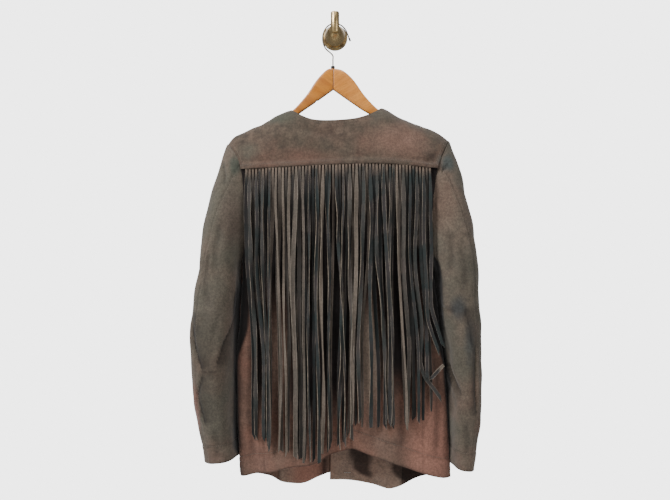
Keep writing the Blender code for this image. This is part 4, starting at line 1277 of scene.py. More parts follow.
# Body of the jacket
@dataclass
class Yoke:
    """Back yoke, whose lower edge laps over the fringe."""

    form: BodyForm
    finish: Material
    stitches: Stitching
    lap_rows: int = 9
    topstitch: float = 0.0075  # stitched line above the lower edge
    neck_stitch: float = 0.0055
    armhole_stitch: float = 0.006
    creases: tuple[Crease, ...] = (
        Crease(((-0.15, -0.205), (-0.12, -0.225), (-0.088, -0.238)), 0.0016, 0.01, stain=0.1),
        Crease(((0.15, -0.2), (0.128, -0.222), (0.1, -0.232)), 0.0016, 0.01, stain=0.1),
        Crease(((-0.06, -0.195), (-0.03, -0.206), (0.01, -0.204)), 0.0014, 0.009, stain=0.1),
        Crease(((0.172, -0.268), (0.19, -0.258), (0.204, -0.24)), 0.0018, 0.007, stain=0.3))

    def lay(self) -> Array:
        """Points of the yoke on the body, lap included."""
        cut = Cut(Face.BACK, lambda z: armhole_x(z, Hand.LEFT), lambda z: armhole_x(z, Hand.RIGHT),
                  yoke_top, lambda x: YOKE_SEAM.at("z", x) + LAP + LAP_RISE)
        across = spread((0.0, 0), (0.283, 34), (0.697, 50), (1.0, 36))
        upper = cut.lay(self.form, across, spread((0.0, 0), (0.03, 5), (1.0, 24))[:-1])
        edge = Cut(Face.BACK, cut.inner, cut.outer, yoke_top, lambda x: YOKE_SEAM.at("z", x))
        rows = [upper]
        for rise in np.linspace(LAP + LAP_RISE, 0.0, self.lap_rows):
            row = edge.lay(self.form, across, np.array([1.0]), float(rise))
            row[..., 1] -= LAP_OUT * smooth((LAP + LAP_RISE - rise) / LAP_RISE)
            rows.append(row)
        return np.concatenate(rows)

    def build(self) -> None:
        """Builds the yoke and gathers its stitch lines."""
        points = self.lay()
        lines = set_on_body(self.creases, self.form)
        trim = Trim(top=EdgeKind.PLAIN, bottom=EdgeKind.PLAIN)
        cloth = press_cloth(points, np.array((0.0, -1.0, 0.2)), lines,
                            Wander(3, 0.0008, 0.028, 0.08), trim)
        reach = edge_distances(cloth.points)["bottom"]
        sewn = bell((reach - self.topstitch) / 0.0018)
        cloth.points -= cloth.normals * (0.00055 * sewn)[..., None]
        # painted shade in the topstitch's groove and along the lower edge
        cloth.shade = np.maximum(cloth.shade, np.maximum(0.15 * sewn, 0.2 * bell(reach / 0.0014)))
        self.stitches.along(cloth.line_at("bottom", self.topstitch))
        neck = cloth.line_at("top", self.neck_stitch)
        ends = NECKLINE.rows[:, 0]
        inside = (neck[:, 0] > ends[0]) & (neck[:, 0] < ends[-1])
        self.stitches.along(neck[inside])
        for edge in ("left", "right"):
            self.stitches.along(cloth.line_at(edge, self.armhole_stitch))
        obj = cloth_piece("back_yoke", cloth, self.finish)


@dataclass
class Backs:
    """Two back panels with the centre seam, and the side panels next to them."""

    form: BodyForm
    finish: Material
    stitches: Stitching
    creases: tuple[Crease, ...] = (
        Crease(((-0.105, -0.56), (-0.112, -0.7), (-0.118, -0.86)), 0.003, 0.0085, lean=0.4),
        Crease(((-0.06, -0.64), (-0.055, -0.76), (-0.062, -0.858)), 0.0024, 0.009, lean=-0.4),
        Crease(((-0.02, -0.7), (-0.012, -0.79), (-0.016, -0.836)), 0.002, 0.0075),
        Crease(((0.07, -0.6), (0.078, -0.72), (0.074, -0.838)), 0.0028, 0.009, lean=0.5),
        Crease(((0.118, -0.64), (0.128, -0.76), (0.132, -0.852)), 0.0026, 0.0085, lean=-0.3),
        Crease(((0.196, -0.62), (0.202, -0.74), (0.198, -0.868)), 0.003, 0.0075, lean=0.3),
        Crease(((0.18, -0.56), (0.196, -0.66), (0.207, -0.72)), 0.0024, 0.006),
        Crease(((-0.16, -0.6), (-0.166, -0.72), (-0.16, -0.87)), 0.0028, 0.007, lean=0.4),
        Crease(((0.15, -0.42), (0.172, -0.48), (0.186, -0.56)), 0.0024, 0.007),
        Crease(((-0.13, -0.42), (-0.15, -0.49), (-0.166, -0.56)), 0.0024, 0.007))

    def painted_fringe_shadow(self, points: Array) -> Array:
        """Painted shadow on the suede under the fringe, lighter where the strands part, and beside
        the body's sides.
        """
        x, z = points[..., 0], points[..., 2]
        high = smooth((z + 0.62) / 0.2)
        side = (smooth((x - FRINGE_TIPS.rows[0, 0]) / 0.02)
                * smooth((FRINGE_TIPS.rows[-1, 0] - x) / 0.03))
        low = side * smooth((z - FRINGE_TIPS.at("z", x) - 0.01) / 0.12)
        parted = np.minimum(1.0, sum(bell((x - place) / 0.02) for place, _ in PARTINGS))
        under = np.maximum(high, low) * (1.0 - 0.95 * parted * smooth((-0.48 - z) / 0.12))
        # painted shadow in the gap beside the body's sides, where the sleeves hang against it
        beside = np.minimum(x - BODY.at("left", z), BODY.at("right", z) - x)
        reach = 0.0065 + 0.018 * smooth((z + 0.66) / 0.08)
        return np.maximum(under, smooth((reach - beside) / 0.005) * smooth((z + 0.83) / 0.04))

    def build(self) -> None:
        """Builds the four panels and gathers their hem stitches."""
        gap = 0.5 * SEAM
        under_lap = LAP - SEAM
        for name, inner, outer, top_share, shape in (
                ("back_left", lambda z: side_seam_x(z, Hand.LEFT) + gap,
                 lambda z: CENTRE_SEAM.at("x", z) - gap, 0.0, (0.19, 0.61, 0.1)),
                ("back_right", lambda z: CENTRE_SEAM.at("x", z) + gap,
                 lambda z: side_seam_x(z, Hand.RIGHT) - gap, 0.0, (0.18, 0.612, 0.095)),
                ("side_back_left", lambda z: armhole_x(z, Hand.LEFT),
                 lambda z: side_seam_x(z, Hand.LEFT) - gap, 0.18, (0.075, 0.505, 0.0275)),
                ("side_back_right", lambda z: side_seam_x(z, Hand.RIGHT) + gap,
                 lambda z: armhole_x(z, Hand.RIGHT), 0.18, (0.075, 0.508, 0.0264))):
            cut = Cut(Face.BACK, inner, outer, lambda x: YOKE_SEAM.at("z", x) + under_lap,
                      lambda x: BACK_HEM.at("z", x))
            wide, rows = (44, 150) if top_share == 0.0 else (20, 124)
            points = cut.lay(self.form, np.linspace(0.0, 1.0, wide + 1),
                             np.linspace(top_share, 1.0, rows + 1))
            cloth = press_cloth(points, np.array((0.0, -1.0, 0.0)),
                                set_on_body(self.creases, self.form), Wander(7, 0.001), Trim())
            cloth.shade = np.maximum(cloth.shade, self.painted_fringe_shadow(cloth.points))
            self.stitches.along(cloth.line_at("bottom", HEM_STITCH))
            obj = cloth_piece(name, cloth, self.finish)


# Painted shade in the hollows inside the right front: where each starts and ends at each height.
HOLLOW = Table(
    "z start end", (-0.899, 0.072, 0.0725), (-0.8967, 0.069, 0.074), (-0.889, 0.05, 0.076),
    (-0.8821, 0.04, 0.072), (-0.8778, 0.0365, 0.0725), (-0.8544, 0.0302, 0.0755),
    (-0.83, 0.024, 0.076))
FAR_HOLLOW = Table(
    "z start end", (-0.92, 0.15, 0.3), (-0.9069, 0.1393, 0.3), (-0.8889, 0.1176, 0.3),
    (-0.87, 0.113, 0.3), (-0.83, 0.11, 0.3))


@dataclass
class Fronts:
    """Two plain fronts, open down the middle, each with its facing inside."""

    form: BodyForm
    finish: Material
    facing: Material
    stitches: Stitching
    facing_off: float = 0.0017
    facing_wall: float = 0.001
    facing_top: float = -0.45
    facing_share: float = 0.36
    facing_inset: float = 0.001  # how far its edges lie inside the front's
    left_inset: float = 4.0  # how many times that at the left facing's upright edge
    neck_bow: float = 0.8  # power that bows the neckline
    overlap: float = 0.0014  # how far the left front lies under the right one
    overlap_off: float = 0.0019  # how far outwards it is pressed there
    hollow_top: float = -0.815  # height up to which the painted shade of the inside's hollows reaches
    slot_shade: float = 0.009  # width of the painted shade strip beside the opening
    tack_ends: tuple[tuple[float, float], ...] = ((0.024, -0.8872), (0.033, -0.8862))
    creases: tuple[Crease, ...] = (
        front_crease(((-0.15, -0.23), (-0.11, -0.3), (-0.06, -0.36)), 0.0024, 0.0085),
        front_crease(((0.15, -0.228), (0.11, -0.3), (0.06, -0.365)), 0.0024, 0.0085),
        front_crease(((-0.168, -0.38), (-0.13, -0.44), (-0.09, -0.48)), 0.0022, 0.008),
        front_crease(((0.172, -0.38), (0.135, -0.44), (0.095, -0.485)), 0.0022, 0.008),
        front_crease(((-0.07, -0.52), (-0.078, -0.7), (-0.086, -0.895)), 0.003, 0.0095, lean=0.4),
        front_crease(((-0.13, -0.56), (-0.138, -0.72), (-0.134, -0.885)), 0.0028, 0.009, lean=-0.4),
        front_crease(((0.06, -0.52), (0.066, -0.7), (0.07, -0.9)), 0.003, 0.0095, lean=-0.4),
        front_crease(((0.13, -0.56), (0.142, -0.72), (0.138, -0.905)), 0.0028, 0.009, lean=0.4))

    def shadowed(self, points: Array) -> Array:
        """Painted shade of the inside: beside the opening and in its hollows."""
        x, z = points[..., 0], points[..., 2]
        edge = FRONT_EDGE.at("x", z)
        shade = 0.9 * bell((x - edge + self.slot_shade) / self.slot_shade) * (x < edge)
        for hollow in (HOLLOW, FAR_HOLLOW):
            inside = (smooth((x - hollow.at("start", z) + 0.005) / 0.012)
                      * smooth((hollow.at("end", z) + 0.005 - x) / 0.012))
            shade = np.maximum(shade, 0.85 * inside * (x > edge))
        return shade * smooth((self.hollow_top - z) / 0.012)

    def neckline(self, hand: Hand) -> Edge:
        """Upper edge of a front: the slope of the neckline, then the ridge."""
        neck = float(NECKLINE.rows[0 if hand is Hand.LEFT else -1, 0])
        edge = float(FRONT_EDGE.at("x", V_BOTTOM))
        high = float(RIDGE.at("z", neck))

        def top(x: Array) -> Array:
            """Height of the edge at each x."""
            share = (x - edge) / (neck - edge)
            slope = V_BOTTOM + (high - V_BOTTOM) * np.clip(share, 0.0, 1.0) ** self.neck_bow
            return np.where(share >= 1.0, RIDGE.at("z", x), slope)
        return top

    def build(self) -> None:
        """Builds the fronts and facings and gathers their stitch lines."""
        across = spread((0.0, 0), (0.36, 20), (1.0, 36))
        down = spread((0.0, 0), (0.0012, 1), (0.005, 2), (0.024, 4), (0.13, 20), (1.0, 140))
        lines = set_on_body(self.creases, self.form)
        for hand, size in ((Hand.LEFT, (0.225, 0.76, 0.135)), (Hand.RIGHT, (0.25, 0.775, 0.156))):
            hem = FRONT_HEM if hand is Hand.LEFT else FRONT_HEM_RIGHT
            cut = Cut(Face.FRONT,
                      lambda z: (FRONT_EDGE.at("x", z) + 0.5 * OPEN_GAP
                                 + (self.overlap if hand is Hand.LEFT else 0.0)),
                      lambda z: armhole_x(z, hand), self.neckline(hand),
                      lambda x: hem.at("z", x))
            points = cut.lay(self.form, across, down)
            if hand is Hand.LEFT:
                beyond = points[..., 0] - FRONT_EDGE.at("x", points[..., 2])
                points[..., 1] += self.overlap_off * smooth((beyond + 0.006) / 0.005)
            trim = Trim(left=EdgeKind.PLAIN, top=EdgeKind.PLAIN)
            cloth = press_cloth(points, np.array((0.0, 1.0, 0.0)), lines, Wander(11, 0.0012), trim)
            cloth.shade = np.maximum(cloth.shade, self.shadowed(cloth.points))
            self.stitches.along(cloth.line_at("bottom", HEM_STITCH))
            self.stitches.along(cloth.line_at("left", EDGE_STITCH)[6:])
            obj = cloth_piece("front_" + hand.word, cloth, self.finish)
            self.clear_outside(obj.data)
            self.build_facing(cloth, across, hand)

    def clear_outside(self, mesh: Mesh) -> None:
        """Takes the shade of the inside's hollows off the outside of a front.

        Args:
            mesh: the front's mesh, which has the shade on both sides.
        """
        count = len(mesh.vertices)
        normals = np.empty(3 * count, dtype=np.float32)
        mesh.vertices.foreach_get("normal", normals)
        shade = np.empty(count, dtype=np.float32)
        layer = mesh.attributes["shade"].data
        layer.foreach_get("value", shade)
        outside = normals[1::3] > 0.0
        layer.foreach_set("value", np.where(outside, np.minimum(shade, 0.3), shade))

    def tack(self, points: Array) -> None:
        """Adds the few white stitches that hold the right facing."""
        spots = points.reshape(-1, 3)
        ends = [spots[int(np.argmin((spots[:, 0] - x) ** 2 + (spots[:, 2] - z) ** 2))]
                for x, z in self.tack_ends]
        ends = [end - np.array((0.0, 0.0012, 0.0)) for end in ends]
        white = Stitching(Thread("white_thread", (0.7, 0.68, 0.64)).build(), 0.0031, 0.0029, 0.0014)
        white.along(np.array(ends))
        dress(white.build("facing_tack"), "facing_right", stands_in=False)

    def build_facing(self, front: ClothGrid, across: Array, hand: Hand) -> None:
        """Facing made from the front's points, moved inwards."""
        columns = int(np.searchsorted(across, self.facing_share)) + 1
        rows = front.points[:, 0, 2] <= self.facing_top
        points = front.points[rows][:, :columns].copy()
        points[..., 1] -= self.facing_off
        points[:, 0, 0] += hand.value * self.facing_inset * (
            self.left_inset if hand is Hand.LEFT else 1.0)
        points[-1, :, 2] += self.facing_inset
        # painted shade along the facing's inner edge, and in the inside's hollows
        shade = np.maximum(0.5 * bell(edge_distances(points)["right"] / 0.003),
                           self.shadowed(points))
        cloth = ClothGrid(points, grid_normals(points, np.array((0.0, -1.0, 0.0))), shade)
        if hand is Hand.RIGHT:
            self.tack(points)
        obj = cloth_piece("facing_" + hand.word, cloth, self.facing, self.facing_wall)


# Sleeves
@dataclass
class Sleeve:
    """Two-piece sleeve, open at the cuff."""

    hand: Hand
    finish: Material
    stitches: Stitching
    rings: Table
    creases: tuple[Crease, ...]
    shoulder_z: float
    shadow: Table  # outer edge of the shadow on its inner side
    roundness: float = 2.3  # power of the cross-section, 2 is an ellipse
    back_seam: float = 52.0  # angle of the seam at the outer back edge
    front_seam: float = 262.0  # angle of the seam at the front
    head_rows: int = 66
    arm_rows: int = 100
    upper_columns: int = 40
    under_columns: int = 52
    cuff: float = 0.034  # depth of the turned cuff
    allowance: float = 0.0045  # cloth that is sewn in under the armhole's edge
    allowance_in: float = 0.0022
    lean: float = 0.002  # how far the hidden inner side reaches behind the body's
    lean_angle: float = 214.0
    lean_spread: float = 26.0

    def shadowed(self, points: Array) -> Array:
        """Shade of the inner side, where the sleeve hangs against the body."""
        x, z = self.hand.value * points[..., 0], points[..., 2]
        return smooth((self.shadow.at("x", z) - x) / 0.0035) * smooth((-0.425 - z) / 0.02)

    def head_start(self, angle: Array) -> Array:
        """Points of the armhole; angle 0 at the shoulder, 90 at the back, 180 below."""
        middle = 0.5 * (self.shoulder_z + UNDERARM_Z)
        half = 0.5 * (self.shoulder_z - UNDERARM_Z)
        z = middle + half * np.cos(np.radians(angle))
        x = armhole_x(z, self.hand)
        form = BodyForm()
        y = np.where(angle < 180.0, form.depth(x, z, Face.BACK), form.depth(x, z, Face.FRONT))
        gap = SLEEVE_HEAD.at("gap", angle) * self.hand.value
        return np.stack((x + gap, y, z + SLEEVE_HEAD.at("lift", angle)), axis=-1)

    def ring(self, z: Array, angle: Array) -> Array:
        """Points of the rings; angle 0 outside, 90 at the back, 180 inside."""
        turn = np.radians(angle)
        c, s = np.cos(turn), np.sin(turn)
        outer, inner = self.rings.at("outer", z), self.rings.at("inner", z)
        back, front = self.rings.at("back", z), self.rings.at("front", z)
        power = 2.0 / self.roundness
        x = 0.5 * (outer + inner) + 0.5 * (outer - inner) * signed_power(c, power)
        y = 0.5 * (back + front) + 0.5 * (back - front) * signed_power(s, power)
        leant = math.radians(self.lean_angle)
        resting = (0.5 * (outer + inner)
                   + 0.5 * (outer - inner) * float(signed_power(np.cos(leant), power)))
        target = BODY.at(self.hand.word, z) - self.hand.value * self.lean
        push = np.maximum(0.0, self.hand.value * (resting - target)) * smooth((z + 0.88) / 0.03)
        x -= self.hand.value * push * bell((angle - self.lean_angle) / self.lean_spread)
        return np.stack((x, y, z - self.rings.at("tilt", z) * 0.5 * (1.0 - c)), axis=-1)

    def lay(self) -> Array:
        """Points of the whole sleeve, the upper piece's columns and then the under piece's."""
        upper = np.linspace(self.front_seam - 360.0 + SLEEVE_SEAM, self.back_seam - SLEEVE_SEAM,
                            self.upper_columns + 1)
        under = np.linspace(self.back_seam + SLEEVE_SEAM, self.front_seam - SLEEVE_SEAM,
                            self.under_columns + 1)
        angle = np.concatenate((np.where(upper < 0.0, upper + 360.0, upper), under))
        first, last = self.rings.rows[-1, 0], self.rings.rows[0, 0]
        a = self.head_start(angle)
        b = self.ring(np.full_like(angle, first), angle)
        start = np.stack((self.hand.value * SLEEVE_HEAD.at("out", angle),
                          SLEEVE_HEAD.at("along", angle), -SLEEVE_HEAD.at("down", angle)), -1)
        end = np.stack((0.0 * angle, 0.0 * angle, -SLEEVE_HEAD.at("pull", angle)), -1)
        t = np.linspace(0.0, 1.0, self.head_rows + 1)[:-1, None, None]
        head = hermite(t, a, b, start, end)
        z = np.linspace(first, last, self.arm_rows + 1)
        heights, angles = np.meshgrid(z, angle, indexing="ij")
        turn = np.radians(angle)
        inwards = np.stack((-self.hand.value * self.allowance + 0.0 * turn,
                            self.allowance_in * np.sin(turn),
                            -self.allowance_in * np.cos(turn)), -1)
        return np.concatenate(((a + inwards)[None], head, self.ring(heights, angles)))

    def set_on_sleeve(self, crease: Crease, points: Array, normals: Array) -> Array:
        """A crease's places set on the sleeve, on the side that faces its viewer."""
        turned = normals[..., 1] * crease.face.value > 0.05
        spots = points[turned]
        out = []
        for x, z in crease.places:
            away = (spots[:, 0] - x) ** 2 + (spots[:, 2] - z) ** 2
            out.append(spots[int(np.argmin(away))])
        return np.array(out)

    def build(self) -> None:
        """Builds both pieces and gathers their stitch lines."""
        points = self.lay()
        middle = points.mean(axis=1, keepdims=True)
        hint = (points - middle) * np.array((1.0, 1.0, 0.0))
        normals = grid_normals(points, hint)
        lines = [(c, self.set_on_sleeve(c, points, normals)) for c in self.creases]
        whole = press_cloth(points, hint, lines, Wander(17 + int(self.hand.value), 0.0013), None)
        split = self.upper_columns + 1
        for part, first, last in (("upper", 0, split), ("under", split, points.shape[1])):
            cloth = whole.part(first, last)
            lift, dark = Trim(hem=self.cuff).press(cloth.points)
            cloth.points = cloth.points + cloth.normals * lift[..., None]
            cloth.shade = np.maximum(np.maximum(cloth.shade, dark), self.shadowed(cloth.points))
            self.stitches.along(cloth.line_at("bottom", self.cuff))
            if part == "under":
                self.stitches.along(cloth.line_at("left", SEAM_STITCH)[8:])
            obj = cloth_piece(part + "_sleeve_" + self.hand.word, cloth, self.finish)


LEFT_SHADOW = Table(
    "z x", (-0.38, 0.17), (-0.44, 0.18), (-0.49, 0.19), (-0.532, 0.1985), (-0.6, 0.2015),
    (-0.7, 0.202), (-0.8, 0.2015), (-0.835, 0.196), (-0.85, 0.18))
RIGHT_SHADOW = Table(
    "z x", (-0.38, 0.17), (-0.435, 0.19), (-0.458, 0.204), (-0.483, 0.2095), (-0.532, 0.2115),
    (-0.58, 0.215), (-0.629, 0.2205), (-0.66, 0.225), (-0.687, 0.229), (-0.708, 0.229),
    (-0.73, 0.2275), (-0.81, 0.229), (-0.85, 0.224))
LEFT_SLEEVE_CREASES = (
    Crease(((-0.2216, -0.26), (-0.217, -0.288), (-0.2137, -0.312)), 0.0034, 0.004),
    Crease(((-0.27, -0.55), (-0.2716, -0.61), (-0.2503, -0.67)), 0.003, 0.005,
           cast=1.0, cast_reach=0.017, step=0.0024),
    Crease(((-0.252, -0.665), (-0.2619, -0.7097), (-0.247, -0.77)),
           0.0026, 0.004, cast=1.0, cast_reach=0.01, step=0.0024),
    Crease(((-0.193, -0.48), (-0.1975, -0.557), (-0.2037, -0.5803), (-0.2167, -0.6223),
            (-0.229, -0.668)), 0.001, 0.004, stain=0.1, cast=0.75, cast_reach=0.03,
           step=0.0034),
    Crease(((-0.256, -0.664), (-0.24, -0.666), (-0.224, -0.664)), 0.0008, 0.004,
           stain=0.1, cast=0.65, cast_reach=-0.012, step=0.0016),
    Crease(((-0.2406, -0.43), (-0.2412, -0.48)), 0.0016, 0.003, stain=0.2),
    Crease(((-0.215, -0.54), (-0.23, -0.6), (-0.233, -0.65)), 0.0012, 0.007, stain=0.0),
    Crease(((-0.242, -0.43), (-0.248, -0.49), (-0.244, -0.55)), 0.0022, 0.009),
    Crease(((-0.215, -0.37), (-0.228, -0.43), (-0.23, -0.49)), 0.002, 0.008),
    Crease(((-0.23, -0.77), (-0.224, -0.81), (-0.226, -0.84)), 0.0018, 0.007),
    front_crease(((-0.205, -0.57), (-0.235, -0.585), (-0.268, -0.576)), 0.0042, 0.0065, lean=0.4),
    front_crease(((-0.208, -0.62), (-0.238, -0.628), (-0.27, -0.618)), 0.004, 0.006, lean=-0.3),
    front_crease(((-0.212, -0.665), (-0.236, -0.68), (-0.262, -0.674)), 0.0032, 0.006),
    front_crease(((-0.202, -0.42), (-0.22, -0.47), (-0.23, -0.52)), 0.003, 0.008))
RIGHT_SLEEVE_CREASES = (
    Crease(((0.206, -0.283), (0.212, -0.276), (0.223, -0.269)), 0.0038, 0.0034),
    Crease(((0.2093, -0.545), (0.22, -0.55), (0.233, -0.556)), 0.003, 0.0045),
    Crease(((0.22, -0.65), (0.229, -0.686), (0.246, -0.7132)), 0.0062, 0.0066, lean=-0.6,
           cast=0.7, cast_reach=-0.012),
    Crease(((0.2669, -0.61), (0.2669, -0.671), (0.265, -0.7), (0.2707, -0.756)),
           0.004, 0.0034, lean=0.3, cast=0.9, cast_reach=-0.008),
    Crease(((0.244, -0.54), (0.254, -0.58), (0.2592, -0.6268)), 0.003, 0.006,
           cast=0.8, cast_reach=0.014),
    Crease(((0.198, -0.33), (0.206, -0.356), (0.2112, -0.3714)), -0.0022, 0.0045, stain=0.0),
    Crease(((0.235, -0.41), (0.25, -0.47), (0.248, -0.52)), 0.0024, 0.0085),
    Crease(((0.218, -0.39), (0.224, -0.44), (0.22, -0.49)), 0.0022, 0.008),
    Crease(((0.248, -0.76), (0.254, -0.8), (0.25, -0.84)), 0.002, 0.007),
    front_crease(((0.218, -0.57), (0.245, -0.585), (0.276, -0.576)), 0.0042, 0.0065, lean=0.4),
    front_crease(((0.225, -0.625), (0.25, -0.633), (0.279, -0.623)), 0.004, 0.006, lean=-0.3),
    front_crease(((0.233, -0.67), (0.255, -0.685), (0.28, -0.679)), 0.0032, 0.006),
    front_crease(((0.215, -0.42), (0.23, -0.47), (0.24, -0.52)), 0.003, 0.008))


# Fringe
STRAND_TAUPE = Table(
    "x share", (-0.1775, 0.1), (-0.144, 0.2), (-0.13, 0.6), (-0.06, 0.55), (-0.02, 0.35),
    (0.046, 0.3), (0.07, 0.1), (0.098, 0.25), (0.118, 0.65), (0.138, 0.3), (0.15, 0.1),
    (0.1875, 0.1))


@dataclass(frozen=True)
class StrandLook:
    """Sizes and tones of one strand."""

    wide: float
    cup: float  # depth of its cupped section
    slant: float  # how much longer one edge is than the other
    tone: float  # 0 for charcoal, 1 for taupe
    root: float  # length that keeps the yoke's colour
    point: float  # how far its tip narrows
    shade: float  # painted shadow where others hang over it
    tip_tone: float = 0.0  # tone of its end, where its paler side shows


@dataclass
class Fringe:
    """Leather strip in the yoke seam with the strands cut from it."""

    form: BodyForm
    finish: Material
    cut_edge: Material
    strands: int = 56
    left: float = -0.1755  # ends of the strip
    right: float = 0.1875
    strip: float = 0.005  # height of the strip above the cuts
    strip_out: float = 0.0026  # strip's middle off the middle of the back
    wall: float = 0.0011
    spring: float = 0.0018  # how far a strand springs out from under the yoke's edge
    near: float = 0.0046  # standoff of the strands next to the cloth
    far: float = 0.01  # standoff of the strands that hang over them
    near_turn: float = 40.0  # most that a near strand turns, in degrees
    far_turn: float = 62.0
    sway: float = 0.0028
    drift: float = 0.0034  # how far the strands drift sideways by chance
    ragged: float = 0.012  # how unevenly the strands are cut to length
    back_reach: float = 0.86  # strands follow the back out to this share of its width
    right_lean: float = 0.017  # how far the strands next to the right edge lean that way
    left_lean: float = 0.017  # how far those next to the left edge lean to the right
    right_end: float = 0.18  # how far right their ends may hang
    stray_start: float = 0.1  # length over which a stray strand leaves its line
    root_width: float = 0.0037  # width of every strand where it is cut from the strip
    width: float = 0.0084
    narrow: float = 0.5  # narrowest strand, as a share of the widest
    bunch: float = 0.023  # distance between the bunches that the strands gather in
    gather: float = 0.3  # how far they move towards their bunch's middle
    curled: int = 4  # strand, from the right, whose end folds upwards
    curl_path: tuple[tuple[float, float], ...] = (
        (0.1775, -0.64), (0.1772, -0.672), (0.179, -0.686), (0.188, -0.68),
        (0.2, -0.666), (0.21, -0.656))
    cup: float = 0.0007  # how far a strand is cupped across
    steps: int = 56
    columns: int = 6
    tip: float = 0.014  # length of the slanted end
    seed: int = 11

    def strand_line(self, number: int, rng: np.random.RandomState) -> tuple[float, Array, Array]:
        """Middle line of one strand from its root to its tip.

        Args:
            number: place of the strand from the left.
            rng: the fringe's own seeded numbers.

        Returns:
            Root's x, the points, and the turn about the upright at each.
        """
        pitch = (self.right - self.left) / self.strands
        root_x = self.left + pitch * (number + 0.5)
        start_z = float(YOKE_SEAM.at("z", root_x)) + LAP - self.strip
        tip_z = float(FRINGE_TIPS.at("z", root_x)) + self.ragged * (rng.rand() - 0.5)
        far = number % 2 == 1
        bend_a, bend_b = rng.rand() * math.tau, rng.rand() * math.tau
        turn_a, turn_rate = rng.rand() * math.tau, 1.0 + rng.rand()
        most = math.radians(self.far_turn if far else self.near_turn)
        stray = STRAYS.get(self.strands - number)
        if stray is not None:
            tip_z = float(stray.rows[0, 0])
        t = np.linspace(0.0, 1.0, self.steps + 1)
        z = start_z + (tip_z - start_z) * t
        push = sum(gain * (root_x - place) * math.exp(-((root_x - place) / PARTING_WIDTH) ** 2)
                   for place, gain in PARTINGS)
        wander = self.sway * (0.65 * np.sin(bend_a + 5.0 * t) + 0.35 * np.sin(bend_b + 11.0 * t))
        push += self.right_lean * float(smooth((root_x - 0.1) / 0.05))
        push = min(push, self.right_end - root_x)
        push += self.left_lean * float(smooth((-0.095 - root_x) / 0.06))
        x = root_x + push * smooth((t - 0.3) / 0.45) + wander * smooth(t / 0.25)
        if stray is not None:
            share = smooth((float(stray.rows[-1, 0]) + self.stray_start - z) / self.stray_start)
            x = (1.0 - share) * x + share * stray.at("x", z)
        off = self.far if far else self.near
        stand = self.strip_out + (off - self.strip_out) * smooth(t / 0.16)
        stand += self.spring * smooth((start_z - z) / 0.006)
        reach = np.clip(x, BODY.at("left", z) * self.back_reach,
                        BODY.at("right", z) * self.back_reach)
        y = self.form.off_back(reach, z, stand)
        turn = most * np.sin(turn_a + math.tau * turn_rate * t) * smooth(t / 0.2)
        return root_x, np.stack((x, y, z), axis=-1), turn

    def build(self) -> None:
        """Builds the fringe as one piece, with a tone and a shade for each strand."""
        lines_rng = np.random.RandomState(self.seed)
        rng = np.random.RandomState(self.seed + 1)
        bm = bmesh.new()
        layers = tuple(map(bm.verts.layers.float.new, ("tone", "shade", "root", "edge")))
        self.add_strip(bm, layers)
        for number in range(self.strands):
            root_x, line, turn = self.strand_line(number, lines_rng)
            turn = turn * rng.uniform(0.3, 1.5)
            line = self.gathered(root_x, line, rng)
            wide = self.width * rng.uniform(self.narrow, 1.0)
            cup = self.cup * rng.uniform(-1.0, 1.0)
            slant = self.tip * rng.uniform(-1.0, 1.0)
            stray = self.strands - number in STRAYS
            taupe = not stray and rng.rand() < float(STRAND_TAUPE.at("share", root_x))
            strand_tone = rng.uniform(0.45, 1.0) if taupe else float(
                rng.choice((0.0, 0.1, 0.3), p=(0.45, 0.3, 0.25)))
            curled = self.strands - number == self.curled
            if stray or curled:
                turn, wide = 0.2 * turn, 0.8 * self.width
            look = StrandLook(wide, cup, slant, strand_tone, float(rng.uniform(0.004, 0.018)),
                              0.15 if stray or curled else float(rng.choice((0.0, 0.15, 0.5))),
                              0.55 if number % 2 == 0 and not curled else 0.0,
                              1.0 if curled else 0.0)
            if curled:
                line = self.curl(line)
            self.add_strand(bm, line, turn, look, layers)
        obj = new_piece("fringe_suede", bm, (self.finish, self.cut_edge))
        thicken(obj, self.wall, even=False)
        dress(obj, "fringe")

    def gathered(self, root_x: float, line: Array, rng: np.random.RandomState) -> Array:
        """Moves a strand sideways to its bunch, and lets it wander on its own."""
        middle = (math.floor(root_x / self.bunch) + 0.5) * self.bunch
        share = np.linspace(0.0, 1.0, len(line))
        phase, rate = rng.uniform(0.0, math.tau), rng.uniform(4.0, 9.0)
        drift = rng.normal() * self.drift * share + 0.0011 * np.sin(phase + rate * share)
        out = line.copy()
        out[:, 0] += (self.gather * (middle - root_x) * smooth((share - 0.15) / 0.45)
                      + drift * smooth(share / 0.2))
        out[:, 1] -= 0.0022 * rng.uniform(0.0, 1.0) * smooth(share / 0.25)
        return out

    def curl(self, line: Array) -> Array:
        """Folds the end of a strand upwards along its own path."""
        path = np.array(self.curl_path)
        kept = line[line[:, 2] > path[0, 1] + 0.06]
        x, z = (np.concatenate((kept[:, i], path[:, k])) for i, k in ((0, 0), (2, 1)))
        y = self.form.off_back(x, z, np.full_like(x, self.far + 0.004))
        whole = np.stack((x, np.minimum(y, y.mean()), z), axis=-1)
        whole[:len(kept), 1] = kept[:, 1]
        reach = line_reach(whole)
        places = np.linspace(0.0, reach[-1], len(line))
        return np.stack([np.interp(places, reach, whole[:, i]) for i in range(3)], axis=-1)

    def add_strip(self, bm: BMesh, layers: tuple[Any, ...]) -> None:
        """Adds the strip that the strands hang from."""
        tone, shade, root, _ = layers
        made = bmesh.ops.create_grid(bm, x_segments=self.strands * 2, y_segments=2, size=1.0)
        for vert in made["verts"]:
            share, down = 0.5 * (vert.co.x + 1.0), 0.5 * (vert.co.y + 1.0)
            x = self.left + (self.right - self.left) * share
            z = float(YOKE_SEAM.at("z", x)) + LAP - 2.0 * SEAM - self.strip * down
            y = float(self.form.off_back(np.array(x), np.array(z), np.array(self.strip_out)))
            vert.co = (x, y, z)
            # the strip gets a light painted shade, under the yoke's edge
            vert[tone], vert[shade], vert[root] = 0.5, 0.15, 1.0

